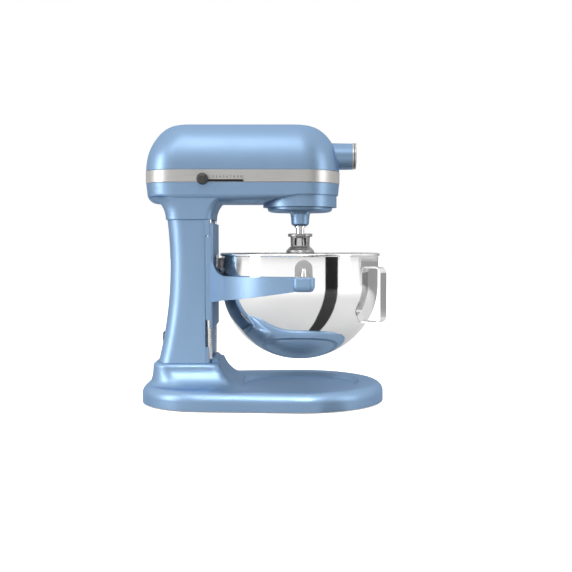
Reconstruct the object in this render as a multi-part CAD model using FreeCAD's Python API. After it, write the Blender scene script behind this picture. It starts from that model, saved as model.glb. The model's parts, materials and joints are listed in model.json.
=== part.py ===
import FreeCAD, Part
import math
import os

# Bowl-lift stand mixer, millimetres.
# +X points to the front (the attachment hub), +Z up, -Y is the side with the speed knob.
# The origin lies on the table, at the middle of the mixer's length and width.

V = FreeCAD.Vector
X_AXIS = V(1, 0, 0)
Y_AXIS = V(0, 1, 0)
Z_AXIS = V(0, 0, 1)

# ---- driving dimensions ----
BOWL_X = 57.5                 # axis of the bowl, the planetary drive and the base disc
BASE_RADIUS = 128.0
BASE_REAR_X = -182.0
BASE_REAR_HALF_WIDTH = 118.0
BASE_CORNER_RADIUS = 100.0
BASE_SKIRT_Z = 2.0            # lower edge of the casting, above the table
BASE_TOP_Z = 29.0
BASE_WALL = 4.0
BASE_EDGE_RADIUS = 14.0
DISH_RADIUS = 92.0
DISH_DEPTH = 6.0
FOOT_RADIUS = 12.0

COLUMN_BOTTOM_Z = 62.5
COLUMN_TOP_Z = 275.5
COLUMN_FRONT_X = -76.5
COLUMN_WAIST_Z = 208.0        # height at which the column is slimmest
COLUMN_WAIST_REAR_X = -138.4
COLUMN_REAR_ARC = 598.0
COLUMN_SIDE_ARC = 1600.0
COLUMN_WAIST_HALF_WIDTH = 50.0
COLUMN_WALL = 4.0

ROD_X = -78.0
ROD_Y = 47.0
ROD_RADIUS = 4.0
NOTCH_X = -83.6               # back wall of the guide rod channels
NOTCH_Y = 40.2

HEAD_REAR_X = -175.5
HEAD_FRONT_X = 117.5
HEAD_HALF_WIDTH = 61.0
HEAD_BOTTOM_Z = 301.0
BAND_BOTTOM_Z = 330.0
BAND_TOP_Z = 349.0
HEAD_TOP_Z = 419.0
HEAD_REAR_CORNER = 48.0
HEAD_WALL = 3.5
NECK_FRONT_X = -73.0
NECK_FLARE = 25.0
NECK_FLARE_HEIGHT = 32.5
NECK_STEP = 2.2               # how far the neck stands out from the column at their joint
NECK_SIDE_Z = 289.0
NECK_SIDE_FLARE = 1.0

GEARCASE_RADIUS = 56.2
GEARCASE_BOTTOM_Z = 295.0
CHIN_Z = 313.0                # the head's lower edge beside the gear case
HUB_Z = 373.0
HUB_RADIUS = 20.3
HUB_FACE_X = 137.0
HUB_BORE_DEPTH = 21.5
HUB_POCKET_X = 101.0          # back wall of the pocket for the drive head, behind the bore

BOWL_RADIUS = 119.4
BOWL_WALL = 1.2
BOWL_RIM_Z = 223.4
BOWL_SHOULDER_Z = 178.0       # below this the wall curves in
BOWL_BOTTOM_RADIUS = 20.0
RIM_BEAD_RADIUS = 2.4
BOWL_SIDE_ARC = 110.8
BOWL_FLOOR_ARC = 120.9
BOWL_ARC_JOIN = 39.2          # degrees below horizontal where the two arcs meet
HANDLE_ANGLE = -28.0          # degrees from +X, towards the speed knob's side
HANDLE_RADIUS = 138.0
HANDLE_WIDTH = 24.0
HANDLE_STRAP = 2.2
HANDLE_TOP_Z = 206.0
HANDLE_LOW_Z = 123.0

LIFT_TRAVEL = 38.0
YOKE_BACK_X = -76.1
YOKE_FRONT_X = -71.0
YOKE_BOTTOM_Z = 115.0
YOKE_TOP_Z = 270.0
RAIL_BOTTOM_Z = 126.5
RAIL_TOP_Z = 250.6
RAIL_OUTER_Y = 54.5
ARM_INNER_RADIUS = 125.0
ARM_OUTER_RADIUS = 137.0
ARM_TOP_Z = 192.5
ARM_ROOT_DEPTH = 36.0
ARM_TIP_DEPTH = 20.0
PIN_X = 61.0
PIN_Y = 132.5

LEVER_X = -95.0               # pivot of the bowl lift lever
LEVER_Z = 176.0
LEVER_LENGTH = 62.0
CRANK_RADIUS = 24.8
CRANK_ANGLE = 50.0            # degrees above horizontal at rest
CRANK_PIN_RADIUS = 4.0
CRANK_SLOT_CLEARANCE = 1.5

MODULE = 2.0
RING_TEETH = 40
PLANET_TEETH = 12
CENTER_TEETH = 48
WHEEL_PINION_TEETH = 12
BEATER_OFFSET = MODULE * (RING_TEETH - PLANET_TEETH) / 2
WORM_MODULE = 1.5
WORM_WHEEL_TEETH = 30
WORM_DISTANCE = 29.0
WORM_LEAD = math.pi * WORM_MODULE
ARMATURE_Z = 339.0
BEVEL_TEETH = 12
BEVEL_RADIUS = 16.0
BEATER_SHAFT_RADIUS = 6.35
CENTER_SHAFT_RADIUS = 6.5
ARMATURE_RADIUS = 5.0
RUNNING_GAP = 0.05

KNOB_X = -86.0                # speed knob at its off end
KNOB_Z = 334.5
KNOB_RADIUS = 8.5
SPEED_TRAVEL = 54.0

WHEEL_PITCH = MODULE * (CENTER_TEETH + WHEEL_PINION_TEETH) / 2
WHEEL_Y = WORM_DISTANCE
WHEEL_X = BOWL_X - math.sqrt(WHEEL_PITCH ** 2 - WHEEL_Y ** 2)
BEATER_Y = -BEATER_OFFSET

UNDERPLATE_TOP_Z = 5.2
BASE_SHELF_Z = 76.0
LUG_HALF_HEIGHT = 11.0
LUG_Y = (1.0, 7.0)
CRANK_Y = (9.0, 15.0)
LEVER_ARM_Y = (56.5, 63.0)
CRANK_PIN_Z = LEVER_Z + CRANK_RADIUS * math.sin(math.radians(CRANK_ANGLE))
LEVER_SHAFT_RADIUS = 6.0
LEVER_BUSH_RADIUS = 8.5
GLAND_RADIUS = 6.0
GLAND_Z = 96.0
HEAD_FLOOR = 5.0
SLOT_Z = (330.9, 334.3)
LINK_Y = (-56.6, -55.4)
WEB_BOTTOM_Z = 309.0
WEB_TOP_Z = 313.5
GEAR_SEAT_RADIUS = 47.0
BUSH_RADIUS = 9.5
YOKE_BUSH_RADIUS = 5.6
LATCH_SCREW_Z = 200.0
LATCH_SCREW_Y = 10.0
HUB_LINER_RADIUS = 17.5
HUB_BORE_RADIUS = 15.8
HUB_BACK_X = 90.0
HUB_SHAFT_RADIUS = 5.0
DRIVE_HEAD_RADIUS = 11.0
DRIVE_SQUARE = 10.4           # across the flats of the drive socket
HUB_SCREW_X = 124.0
HUB_SCREW_HOLE = 2.6
HUB_RING_X = 139.3
HINGE_X = 141.6
HINGE_Z = HUB_Z + 18.4
COVER_BACK_X = 140.4
COVER_FRONT_X = 143.0
TIE_RADIUS = 28.5
STATOR_X = (-132.0, -76.0)
REAR_BRACKET_X = (-164.0, -159.0)
FRONT_BRACKET_X = (-46.0, -40.0)
BEARING_RADIUS = 11.0
COMMUTATOR_X = (-64.0, -50.0)
FAN_X = (-156.0, -146.0)
WORM_X = (-12.0, 20.0)
WORM_TIP_RADIUS = 7.3
WORM_PHASE = 90.0
CASE_RADIUS = 53.4
CASE_ROOF_Z = 348.0
CASE_TOP_Z = 352.0
AXLE_RADIUS = 4.0
GEAR_Z = (296.5, 306.0)
BEVEL_SHRINK = 0.62
CARRIER_TOP_Z = 294.6
CARRIER_RADIUS = 49.3
BOSS_LOW_Z = 266.4
BEATER_BUSH_RADIUS = 8.8
SHAFT_LOW_Z = 237.0
PIN_Z = 245.0
WHIP_LOW_Z = 74.0
WHIP_RADIUS = 52.0
WHIP_LOOPS = 6
WIRE_RADIUS = 1.1


# ---- building blocks ----
def box(x0, x1, y0, y1, z0, z1):
    return Part.makeBox(x1 - x0, y1 - y0, z1 - z0, V(x0, y0, z0))


def rod(radius, start, end):
    along = end - start
    return Part.makeCylinder(radius, along.Length, start, along)


def tube(outer, inner, start, end):
    return rod(outer, start, end).cut(rod(inner, start, end))


def upright(radius, x, y, z0, z1):
    return rod(radius, V(x, y, z0), V(x, y, z1))


def upright_tube(outer, inner, x, y, z0, z1):
    return tube(outer, inner, V(x, y, z0), V(x, y, z1))


def cone(radius_a, radius_b, start, end):
    along = end - start
    return Part.makeCone(radius_a, radius_b, along.Length, start, along)


def fuse(shapes):
    result = shapes[0]
    for shape in shapes[1:]:
        result = result.fuse(shape)
    return result.removeSplitter()


def fuse_separate(shapes):
    """One shape from many, with split faces left as they are: merging them spoils lofted faces."""
    result = shapes[0]
    for shape in shapes[1:]:
        result = result.fuse(shape)
    return result


def cut(shape, tools):
    for tool in tools:
        shape = shape.cut(tool)
    return shape


def both_sides(shape):
    return [shape, shape.mirror(V(0, 0, 0), Y_AXIS)]


def side_profile(points, y0, y1):
    """A closed outline in the X-Z plane, extruded from y0 to y1."""
    corners = [V(x, y0, z) for x, z in points]
    face = Part.Face(Part.makePolygon(corners + corners[:1]))
    return face.extrude(V(0, y1 - y0, 0))


def turned(profile, x, y):
    """A closed (radius, z) outline turned about the vertical axis at x, y."""
    corners = [V(x + r, y, z) for r, z in profile]
    face = Part.Face(Part.makePolygon(corners + corners[:1]))
    return face.revolve(V(x, y, 0), Z_AXIS, 360)


def turned_along_y(profile, x, z):
    """A closed (radius, y) outline turned about the Y-ward axis at x, z."""
    corners = [V(x + r, y, z) for r, y in profile]
    face = Part.Face(Part.makePolygon(corners + corners[:1]))
    return face.revolve(V(x, 0, z), Y_AXIS, 360)


def turned_along_x(profile, z):
    """A closed (x, radius) outline turned about the horizontal axis y = 0 at height z."""
    corners = [V(x, 0, z + r) for x, r in profile]
    face = Part.Face(Part.makePolygon(corners + corners[:1]))
    return face.revolve(V(0, 0, z), X_AXIS, 360)


def wire_through(points, bulges):
    """A closed wire: each side is a line, or an arc through the bulge point given for it."""
    edges = []
    for index, start in enumerate(points):
        end = points[(index + 1) % len(points)]
        middle = bulges[index]
        if middle is None:
            edges.append(Part.makeLine(start, end))
        else:
            edges.append(Part.Arc(start, middle, end).toShape())
    return Part.Wire(edges)


def corner(center_x, center_y, radius, degrees, z):
    angle = math.radians(degrees)
    return V(center_x + radius * math.cos(angle), center_y + radius * math.sin(angle), z)


def rounded_plan(z, rear_x, front_x, half_width, rear_radius, front_radius):
    """A horizontal rectangle with rounded corners, the two rear ones and the two front ones alike."""
    front_cx = front_x - front_radius
    rear_cx = rear_x + rear_radius
    front_cy = half_width - front_radius
    rear_cy = half_width - rear_radius
    centers = [
        (front_cx, -front_cy, front_radius, -90, 0),
        (front_cx, front_cy, front_radius, 0, 90),
        (rear_cx, rear_cy, rear_radius, 90, 180),
        (rear_cx, -rear_cy, rear_radius, 180, 270),
    ]
    points = []
    bulges = []
    for cx, cy, radius, begin, finish in centers:
        points += [corner(cx, cy, radius, begin, z), corner(cx, cy, radius, finish, z)]
        bulges += [corner(cx, cy, radius, (begin + finish) / 2, z), None]
    return wire_through(points, bulges)


def loft(wires):
    return Part.makeLoft(wires, True, False)


def quarter(steps):
    """Angles from 0 to 90 degrees, in radians."""
    return [math.radians(90.0 * step / steps) for step in range(steps + 1)]


def gear_outline(teeth, radii, half_widths, phase, z):
    """A closed toothed wire about the origin. half_widths are fractions of one tooth pitch."""
    pitch = 360.0 / teeth
    root, tip = radii
    at_root, at_tip = half_widths
    points = []
    for tooth in range(teeth):
        middle = phase + tooth * pitch
        points.append(corner(0, 0, root, middle - at_root * pitch, z))
        points.append(corner(0, 0, tip, middle - at_tip * pitch, z))
        points.append(corner(0, 0, tip, middle + at_tip * pitch, z))
        points.append(corner(0, 0, root, middle + at_root * pitch, z))
    return Part.makePolygon(points + points[:1])


def spur_gear(teeth, module, phase, x, y, z0, z1):
    radius = module * teeth / 2
    wire = gear_outline(teeth, (radius - 1.1 * module, radius + 0.7 * module), (0.29, 0.10), phase, z0)
    gear = Part.Face(wire).extrude(V(0, 0, z1 - z0))
    gear.translate(V(x, y, 0))
    return gear


# ---- base ----
def base_plan(z, inset):
    """The base outline: the disc under the bowl and two rear corners, joined by straight sides."""
    disc = BASE_RADIUS - inset
    turn = BASE_CORNER_RADIUS - inset
    turn_x = BASE_REAR_X + BASE_CORNER_RADIUS
    turn_y = BASE_REAR_HALF_WIDTH - BASE_CORNER_RADIUS
    away = math.hypot(turn_x - BOWL_X, turn_y)
    side = math.atan2(turn_y, turn_x - BOWL_X) - math.acos((disc - turn) / away)
    side = math.degrees(side)
    points = [
        corner(BOWL_X, 0, disc, -side, z), corner(BOWL_X, 0, disc, side, z),
        corner(turn_x, turn_y, turn, side, z), corner(turn_x, turn_y, turn, 180, z),
        corner(turn_x, -turn_y, turn, 180, z), corner(turn_x, -turn_y, turn, -side, z),
    ]
    right_bulge = corner(turn_x, turn_y, turn, (side + 180) / 2, z)
    left_bulge = V(right_bulge.x, -right_bulge.y, z)
    return wire_through(points, [V(BOWL_X + disc, 0, z), None, right_bulge, None, left_bulge, None])


def base_plate():
    """The low plate of the base with its rounded upper edge."""
    plate = Part.Face(base_plan(BASE_SKIRT_Z, 0)).extrude(V(0, 0, BASE_TOP_Z - BASE_SKIRT_Z))
    rim = [edge for edge in plate.Edges if edge.BoundBox.ZMin > BASE_TOP_Z - 1]
    return plate.makeFillet(BASE_EDGE_RADIUS, rim)


def pedestal(inset, z_top):
    """The part of the base that rises to the column, with a hollow ramp in front."""
    ramp_x, ramp_z, ramp_radius = -15.0, 78.0, 50.0
    side_y, side_z, side_radius = 90.0, 57.0, 28.0
    rear_x, rear_flare = -164.0, 7.0
    rear_radius, radius_flare = 30.0, 34.0
    flare = []
    for z in (BASE_TOP_Z - 0.5, 31.0, 35.0, 41.0, 48.0, side_z):
        fall = (side_z - z) / side_radius
        half = side_y - math.sqrt(max(side_radius ** 2 - (side_z - z) ** 2, 0.0))
        front = ramp_x - math.sqrt(ramp_radius ** 2 - (ramp_z - z) ** 2)
        radius = rear_radius + radius_flare * fall ** 2
        flare.append((z, rear_x - rear_flare * fall ** 2, front, half, radius))
    shoulder = []
    shoulder_run = 7.0
    for angle in quarter(3):
        z = side_z + (z_top - side_z) * math.sin(angle)
        front = ramp_x - math.sqrt(ramp_radius ** 2 - (ramp_z - z) ** 2)
        shrink = shoulder_run * (1 - math.cos(angle))
        shoulder.append((z, rear_x + shrink, front, side_y - side_radius - shrink, rear_radius))

    def wires(rows):
        return [
            rounded_plan(z, rear + inset, front - inset, half - inset, radius - inset, 14.0 - inset)
            for z, rear, front, half, radius in rows
        ]

    foot = Part.Face(wires(flare[:1])[0]).extrude(V(0, 0, -6.0 - inset))
    return fuse_separate([loft(wires(flare)), loft(wires(shoulder)), foot])


def bolt_places():
    return [(x, y) for x in (-127.0, -98.0) for y in (-28.0, 28.0)]


def foot_places():
    places = [(-142.0, -62.0), (-142.0, 62.0)]
    for degrees in (-62, 0, 62):
        angle = math.radians(degrees)
        places.append((BOWL_X + 100 * math.cos(angle), 100 * math.sin(angle)))
    return places


def base_screw_places():
    places = [(-110.0, -78.0), (-110.0, 78.0)]
    for degrees in (-100, -31, 31, 100):
        angle = math.radians(degrees)
        places.append((BOWL_X + 104 * math.cos(angle), 104 * math.sin(angle)))
    return places


def base_casting():
    outer = base_plate().fuse(pedestal(0, COLUMN_BOTTOM_Z))
    lip_back = COLUMN_FRONT_X + 0.9
    lip_profile = [
        (lip_back, 50.0), (lip_back, 68.5), (-71.5, 68.5), (-67.5, 65.5), (-62.0, 54.0), (-58.0, 50.0),
    ]
    outer = outer.fuse(side_profile(lip_profile, -37.0, 37.0))
    floor_z = BASE_TOP_Z - DISH_DEPTH - BASE_WALL
    hollow = Part.Face(base_plan(BASE_SKIRT_Z - 1, BASE_WALL)).extrude(V(0, 0, floor_z - BASE_SKIRT_Z + 1))
    under_dish = upright(DISH_RADIUS + BASE_WALL, BOWL_X, 0, floor_z, COLUMN_BOTTOM_Z)
    hollow = hollow.fuse(pedestal(BASE_WALL, COLUMN_BOTTOM_Z - 4.5).cut(under_dish))
    dish = turned(
        [(0, BASE_TOP_Z + 1), (DISH_RADIUS, BASE_TOP_Z + 1), (DISH_RADIUS, BASE_TOP_Z),
         (DISH_RADIUS - 7, BASE_TOP_Z - DISH_DEPTH), (0, BASE_TOP_Z - DISH_DEPTH)], BOWL_X, 0)
    skin = outer.cut(dish)
    posts = [upright(6.0, x, y, UNDERPLATE_TOP_Z, COLUMN_BOTTOM_Z) for x, y in base_screw_places()]
    casting = skin.cut(hollow).fuse(fuse_separate(posts).common(skin))
    holes = [upright(2.0, x, y, 0, UNDERPLATE_TOP_Z + 10) for x, y in base_screw_places()]
    holes += [upright(3.3, x, y, 40, COLUMN_BOTTOM_Z + 1) for x, y in bolt_places()]
    return cut(casting, holes)


def base_underplate():
    plate = Part.Face(base_plan(UNDERPLATE_TOP_Z - 1.6, BASE_WALL + 0.6)).extrude(V(0, 0, 1.6))
    holes = [upright(4.0, x, y, 0, 10) for x, y in foot_places()]
    holes += [upright(2.0, x, y, 0, 10) for x, y in base_screw_places()]
    return cut(plate, holes)


def rubber_feet():
    feet = []
    for x, y in foot_places():
        pad = cone(FOOT_RADIUS - 1, FOOT_RADIUS, V(x, y, 0), V(x, y, UNDERPLATE_TOP_Z - 1.6))
        feet.append(pad.fuse(upright(4.0, x, y, UNDERPLATE_TOP_Z - 1.6, UNDERPLATE_TOP_Z + 3)))
    return feet


def base_screws():
    screws = []
    for x, y in base_screw_places():
        head = upright(4.0, x, y, 1.4, UNDERPLATE_TOP_Z - 1.6)
        shank = upright(2.0, x, y, UNDERPLATE_TOP_Z - 1.6, UNDERPLATE_TOP_Z + 9)
        screws.append(head.fuse(shank).cut(box(x - 3, x + 3, y - 0.5, y + 0.5, 1.0, 2.2)))
    return screws


# ---- column ----
def column_section(z, inset):
    bend = (z - COLUMN_WAIST_Z) ** 2 / 2
    rear = COLUMN_WAIST_REAR_X - bend / COLUMN_REAR_ARC + inset
    half = COLUMN_WAIST_HALF_WIDTH + bend / COLUMN_SIDE_ARC - inset
    return rounded_plan(z, rear, COLUMN_FRONT_X - inset, half, 26.0 - inset, 9.0 - inset)


def column_body(inset, z_low, z_top):
    steps = 5
    heights = [z_low + (z_top - z_low) * step / steps for step in range(steps + 1)]
    return loft([column_section(z, inset) for z in heights])


def column_casting():
    body = column_body(0, COLUMN_BOTTOM_Z, COLUMN_TOP_Z)
    hollow = column_body(COLUMN_WALL, COLUMN_BOTTOM_Z + 8, COLUMN_TOP_Z - 8)
    low_z = RAIL_BOTTOM_Z - LIFT_TRAVEL - 2.0
    cover_z = RAIL_TOP_Z + 1.2
    channel = box(NOTCH_X, COLUMN_FRONT_X + 2, NOTCH_Y, 70, low_z, cover_z)
    rod_cover = box(NOTCH_X, COLUMN_FRONT_X, NOTCH_Y, RAIL_OUTER_Y, cover_z, COLUMN_TOP_Z)
    back_x, side_y = NOTCH_X - COLUMN_WALL, NOTCH_Y - COLUMN_WALL
    backing = box(back_x, COLUMN_FRONT_X, side_y, 54, COLUMN_BOTTOM_Z, COLUMN_TOP_Z)
    walls = [part.common(body) for part in both_sides(backing)]
    casting = fuse([body.cut(hollow)] + walls + both_sides(rod_cover))
    bosses = [upright(8.0, x, y, COLUMN_BOTTOM_Z, COLUMN_BOTTOM_Z + 24) for x, y in bolt_places()]
    top_bosses = [upright(8.0, x, y, COLUMN_TOP_Z - 24, COLUMN_TOP_Z) for x, y in bolt_places()]
    bearing_rib = box(LEVER_X - 14, LEVER_X + 14, 24.0, 29.0, LEVER_Z - 16, LEVER_Z + 16)
    rib_web = box(LEVER_X + 8, COLUMN_FRONT_X - 1, 24.0, 29.0, LEVER_Z - 16, LEVER_Z + 16)
    side_boss = rod(13.0, V(LEVER_X, 44, LEVER_Z), V(LEVER_X, 54, LEVER_Z))
    casting = fuse_separate([casting] + bosses + top_bosses + [bearing_rib, rib_web, side_boss])
    window = box(COLUMN_FRONT_X - 12, COLUMN_FRONT_X + 5, LUG_Y[0] - 2, LUG_Y[1] + 2,
                 CRANK_PIN_Z - LIFT_TRAVEL - LUG_HALF_HEIGHT - 3, CRANK_PIN_Z + LUG_HALF_HEIGHT + 2)
    tools = both_sides(channel) + [window]
    tools += [upright(3.0, x, y, COLUMN_BOTTOM_Z - 1, COLUMN_BOTTOM_Z + 20) for x, y in bolt_places()]
    tools += [upright(3.0, x, y, COLUMN_TOP_Z - 20, COLUMN_TOP_Z + 1) for x, y in bolt_places()]
    tools += [upright(ROD_RADIUS, ROD_X, y, BASE_SHELF_Z - 8, COLUMN_TOP_Z) for y in (-ROD_Y, ROD_Y)]
    tools += [rod(LEVER_BUSH_RADIUS, V(LEVER_X, 20, LEVER_Z), V(LEVER_X, 60, LEVER_Z))]
    tools += [rod(GLAND_RADIUS, V(-170, 0, GLAND_Z), V(-130, 0, GLAND_Z))]
    return cut(casting, tools)


def column_bolts():
    bolts = []
    for x, y in bolt_places():
        seat_z = COLUMN_BOTTOM_Z - 4.5
        head = upright(5.0, x, y, seat_z - 4, seat_z)
        bolts.append(head.fuse(upright(3.0, x, y, seat_z, COLUMN_BOTTOM_Z + 18)))
    return bolts


def head_bolts():
    bolts = []
    floor_z = COLUMN_TOP_Z + HEAD_FLOOR
    for x, y in bolt_places():
        shank = upright(3.0, x, y, COLUMN_TOP_Z - 18, floor_z)
        bolts.append(shank.fuse(upright(5.0, x, y, floor_z, floor_z + 4)))
    return bolts


def guide_rods():
    return [upright(ROD_RADIUS, ROD_X, y, BASE_SHELF_Z - 8, COLUMN_TOP_Z) for y in (-ROD_Y, ROD_Y)]


def cord_gland():
    """The inlet bush for the power cord, low on the back of the column."""
    rear_x = COLUMN_WAIST_REAR_X - (GLAND_Z - COLUMN_WAIST_Z) ** 2 / 2 / COLUMN_REAR_ARC
    flange = tube(9.0, 3.6, V(rear_x - 4.0, 0, GLAND_Z), V(rear_x - 0.6, 0, GLAND_Z))
    sleeve = tube(GLAND_RADIUS, 3.6, V(rear_x - 0.6, 0, GLAND_Z), V(rear_x + 9, 0, GLAND_Z))
    return flange.cut(column_body(0, COLUMN_BOTTOM_Z, COLUMN_TOP_Z)).fuse(sleeve)


# ---- head ----
def head_plan(z, rear_inset, front_inset, side_inset):
    half = HEAD_HALF_WIDTH - side_inset
    rear = HEAD_REAR_X + rear_inset
    front = HEAD_FRONT_X - front_inset
    return rounded_plan(z, rear, front, half, min(HEAD_REAR_CORNER, 0.95 * half), 0.97 * half)


def dome(inset, z_low, z_top):
    """The upper half of the head: quarter ellipses on every side up to a flat top."""
    rear_run, front_run, side_run = 49.0, 52.0, 40.0
    wires = []
    for angle in quarter(6):
        away = 1 - math.cos(angle)
        insets = [inset + run * away for run in (rear_run, front_run, side_run)]
        wires.append(head_plan(z_low + (z_top - z_low) * math.sin(angle), *insets))
    return loft(wires)


def hub_barrel(inset):
    """The tapered snout that holds the attachment hub."""
    return cone(HUB_RADIUS + 0.8 - inset, HUB_RADIUS - 0.5 - inset, V(70, 0, HUB_Z), V(HUB_FACE_X, 0, HUB_Z))


def head_top_cover():
    body = dome(0, BAND_TOP_Z, HEAD_TOP_Z).fuse(hub_barrel(0))
    hollow = dome(HEAD_WALL, BAND_TOP_Z, HEAD_TOP_Z - HEAD_WALL)
    bore = rod(HUB_RADIUS - 2.8, V(60, 0, HUB_Z), V(HUB_FACE_X + 1, 0, HUB_Z))
    screw = rod(2.6, V(124, 0, HUB_Z), V(124, 30, HUB_Z))
    return cut(body, [hollow, bore, screw])


def trim_band():
    proud = -0.5
    low = BAND_BOTTOM_Z + 0.15
    high = BAND_TOP_Z - 0.15
    wires = [
        head_plan(low, 0.2, 0.2, 0.2),
        head_plan(low + 0.7, proud, proud, proud),
        head_plan(high - 0.7, proud, proud, proud),
        head_plan(high, 0.2, 0.2, 0.2),
    ]
    outer = Part.makeLoft(wires, True, True)
    inner = Part.Face(head_plan(low - 1, HEAD_WALL, HEAD_WALL, HEAD_WALL)).extrude(V(0, 0, high - low + 2))
    slot = box(KNOB_X - 6, KNOB_X + SPEED_TRAVEL + 6, -70, -50, SLOT_Z[0], SLOT_Z[1])
    return outer.cut(inner).cut(slot)


def head_lower_body(inset, z_low):
    """The lower half of the head, a tapered wall that rounds under to the flat belly."""
    wall_z = 315.0
    belly_run = 20.0
    rear_run = 12.0
    draft = 1.5
    belly = []
    for angle in quarter(5):
        away = 1 - math.cos(angle)
        run = inset + draft + belly_run * away
        z = wall_z - (wall_z - z_low) * math.sin(angle)
        belly.append(head_plan(z, inset + draft + rear_run * away, run, run))
    wall = Part.makeLoft([head_plan(BAND_BOTTOM_Z, inset, inset, inset), belly[0]], True, True)
    return wall.fuse(loft(belly))


def neck(inset, z_low):
    """The neck under the head: a small step out from the column, then a flare up into the belly."""
    height = COLUMN_TOP_Z - COLUMN_WAIST_Z
    rear = COLUMN_WAIST_REAR_X - height ** 2 / 2 / COLUMN_REAR_ARC - NECK_STEP + inset
    half = COLUMN_WAIST_HALF_WIDTH + height ** 2 / 2 / COLUMN_SIDE_ARC + NECK_STEP - inset
    front = NECK_FRONT_X - inset
    edge = 0.8
    low_z = z_low + edge
    top_z = COLUMN_TOP_Z + NECK_FLARE_HEIGHT
    wires = [rounded_plan(z_low, rear + edge, front, half - edge, 26.0 - inset, 12.0 - inset)]
    for angle in quarter(9):
        out = NECK_FLARE * (1 - math.cos(angle))
        z = low_z + (top_z - low_z) * math.sin(angle)
        rise = max(0.0, (z - NECK_SIDE_Z) / (HEAD_BOTTOM_Z - NECK_SIDE_Z))
        side = half + NECK_SIDE_FLARE * rise ** 2
        wires.append(rounded_plan(z, rear - out, front + out, side, 26.0 - inset, 12.0 - inset))
    return Part.makeLoft(wires, True, True)


def chin_cutter():
    """What is cut from the head beside the gear case, so that its lower edge sweeps up to the front."""
    start = V(0.0, -80, HEAD_BOTTOM_Z - 1)
    bend = V(26.0, -80, 307.5)
    level = V(54.0, -80, CHIN_Z)
    far = V(140.0, -80, CHIN_Z)
    low = V(140.0, -80, HEAD_BOTTOM_Z - 1)
    edges = [
        Part.Arc(start, bend, level).toShape(),
        Part.makeLine(level, far),
        Part.makeLine(far, low),
        Part.makeLine(low, start),
    ]
    wedge = Part.Face(Part.Wire(edges)).extrude(V(0, 160, 0))
    return wedge.cut(upright(GEARCASE_RADIUS, BOWL_X, 0, 280, 330))


def head_lower_housing():
    body = head_lower_body(0, HEAD_BOTTOM_Z)
    body = body.fuse(upright(GEARCASE_RADIUS, BOWL_X, 0, GEARCASE_BOTTOM_Z, CHIN_Z + 4))
    body = body.cut(chin_cutter())
    body = body.fuse(neck(0, COLUMN_TOP_Z))
    hollow = head_lower_body(HEAD_WALL, HEAD_BOTTOM_Z + HEAD_WALL)
    neck_hollow = neck(HEAD_WALL + 1, COLUMN_TOP_Z + HEAD_FLOOR)
    front_floor = upright(GEARCASE_RADIUS, BOWL_X, 0, GEARCASE_BOTTOM_Z, WEB_TOP_Z)
    pad = box(-14, 30, -50, 50, HEAD_BOTTOM_Z + 2, WEB_TOP_Z)
    hollow = hollow.cut(front_floor).cut(pad)
    tools = [
        hollow,
        neck_hollow,
        upright(GEAR_SEAT_RADIUS, BOWL_X, 0, GEARCASE_BOTTOM_Z - 1, WEB_BOTTOM_Z),
        upright(BUSH_RADIUS, BOWL_X, 0, WEB_BOTTOM_Z - 1, WEB_TOP_Z + 1),
        upright(4.0, WHEEL_X, WHEEL_Y, WEB_TOP_Z - 6, WEB_TOP_Z + 1),
    ]
    tools += [upright(3.0, x, y, COLUMN_TOP_Z - 1, COLUMN_TOP_Z + HEAD_FLOOR + 1) for x, y in bolt_places()]
    return cut(body, tools)


def speed_slot_guide():
    """The black plastic guide that lines the speed slot."""
    outer = box(KNOB_X - 6, KNOB_X + SPEED_TRAVEL + 6, -61.0, -57.6, SLOT_Z[0], SLOT_Z[1])
    inner = box(KNOB_X - 5, KNOB_X + SPEED_TRAVEL + 5, -62, -56, SLOT_Z[0] + 0.8, SLOT_Z[1] - 0.8)
    return outer.cut(inner)


# ---- attachment hub ----
def attachment_hub():
    """The liner of the snout: a bore at the front, a pocket for the drive head and a bush seat behind it."""
    face = V(HUB_FACE_X, 0, HUB_Z)
    floor = V(HUB_FACE_X - HUB_BORE_DEPTH, 0, HUB_Z)
    pocket = V(HUB_POCKET_X, 0, HUB_Z)
    liner = rod(HUB_LINER_RADIUS, V(HUB_BACK_X, 0, HUB_Z), face)
    tools = [
        rod(HUB_BORE_RADIUS, floor, V(HUB_FACE_X + 1, 0, HUB_Z)),
        rod(DRIVE_HEAD_RADIUS + 0.6, pocket, face),
        rod(BUSH_RADIUS, V(HUB_BACK_X - 1, 0, HUB_Z), pocket),
        rod(HUB_SCREW_HOLE, V(HUB_SCREW_X, 0, HUB_Z), V(HUB_SCREW_X, 30, HUB_Z)),
    ]
    return cut(liner, tools)


def hub_trim_ring():
    ring = tube(HUB_RADIUS - 0.5, HUB_BORE_RADIUS, V(HUB_FACE_X, 0, HUB_Z), V(HUB_RING_X, 0, HUB_Z))
    ear = box(HUB_FACE_X, HINGE_X + 1.8, 3.2, 6.0, HINGE_Z - 2.0, HINGE_Z + 2.0)
    ear = ear.common(rod(HUB_RADIUS, V(HUB_FACE_X, 0, HUB_Z), V(HUB_FACE_X + 20, 0, HUB_Z)))
    pin_hole = rod(1.0, V(HINGE_X, -8, HINGE_Z), V(HINGE_X, 8, HINGE_Z))
    return fuse([ring] + both_sides(ear)).cut(pin_hole)


def hub_hinge_pin():
    return rod(1.0, V(HINGE_X, -6.4, HINGE_Z), V(HINGE_X, 6.4, HINGE_Z))


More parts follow.
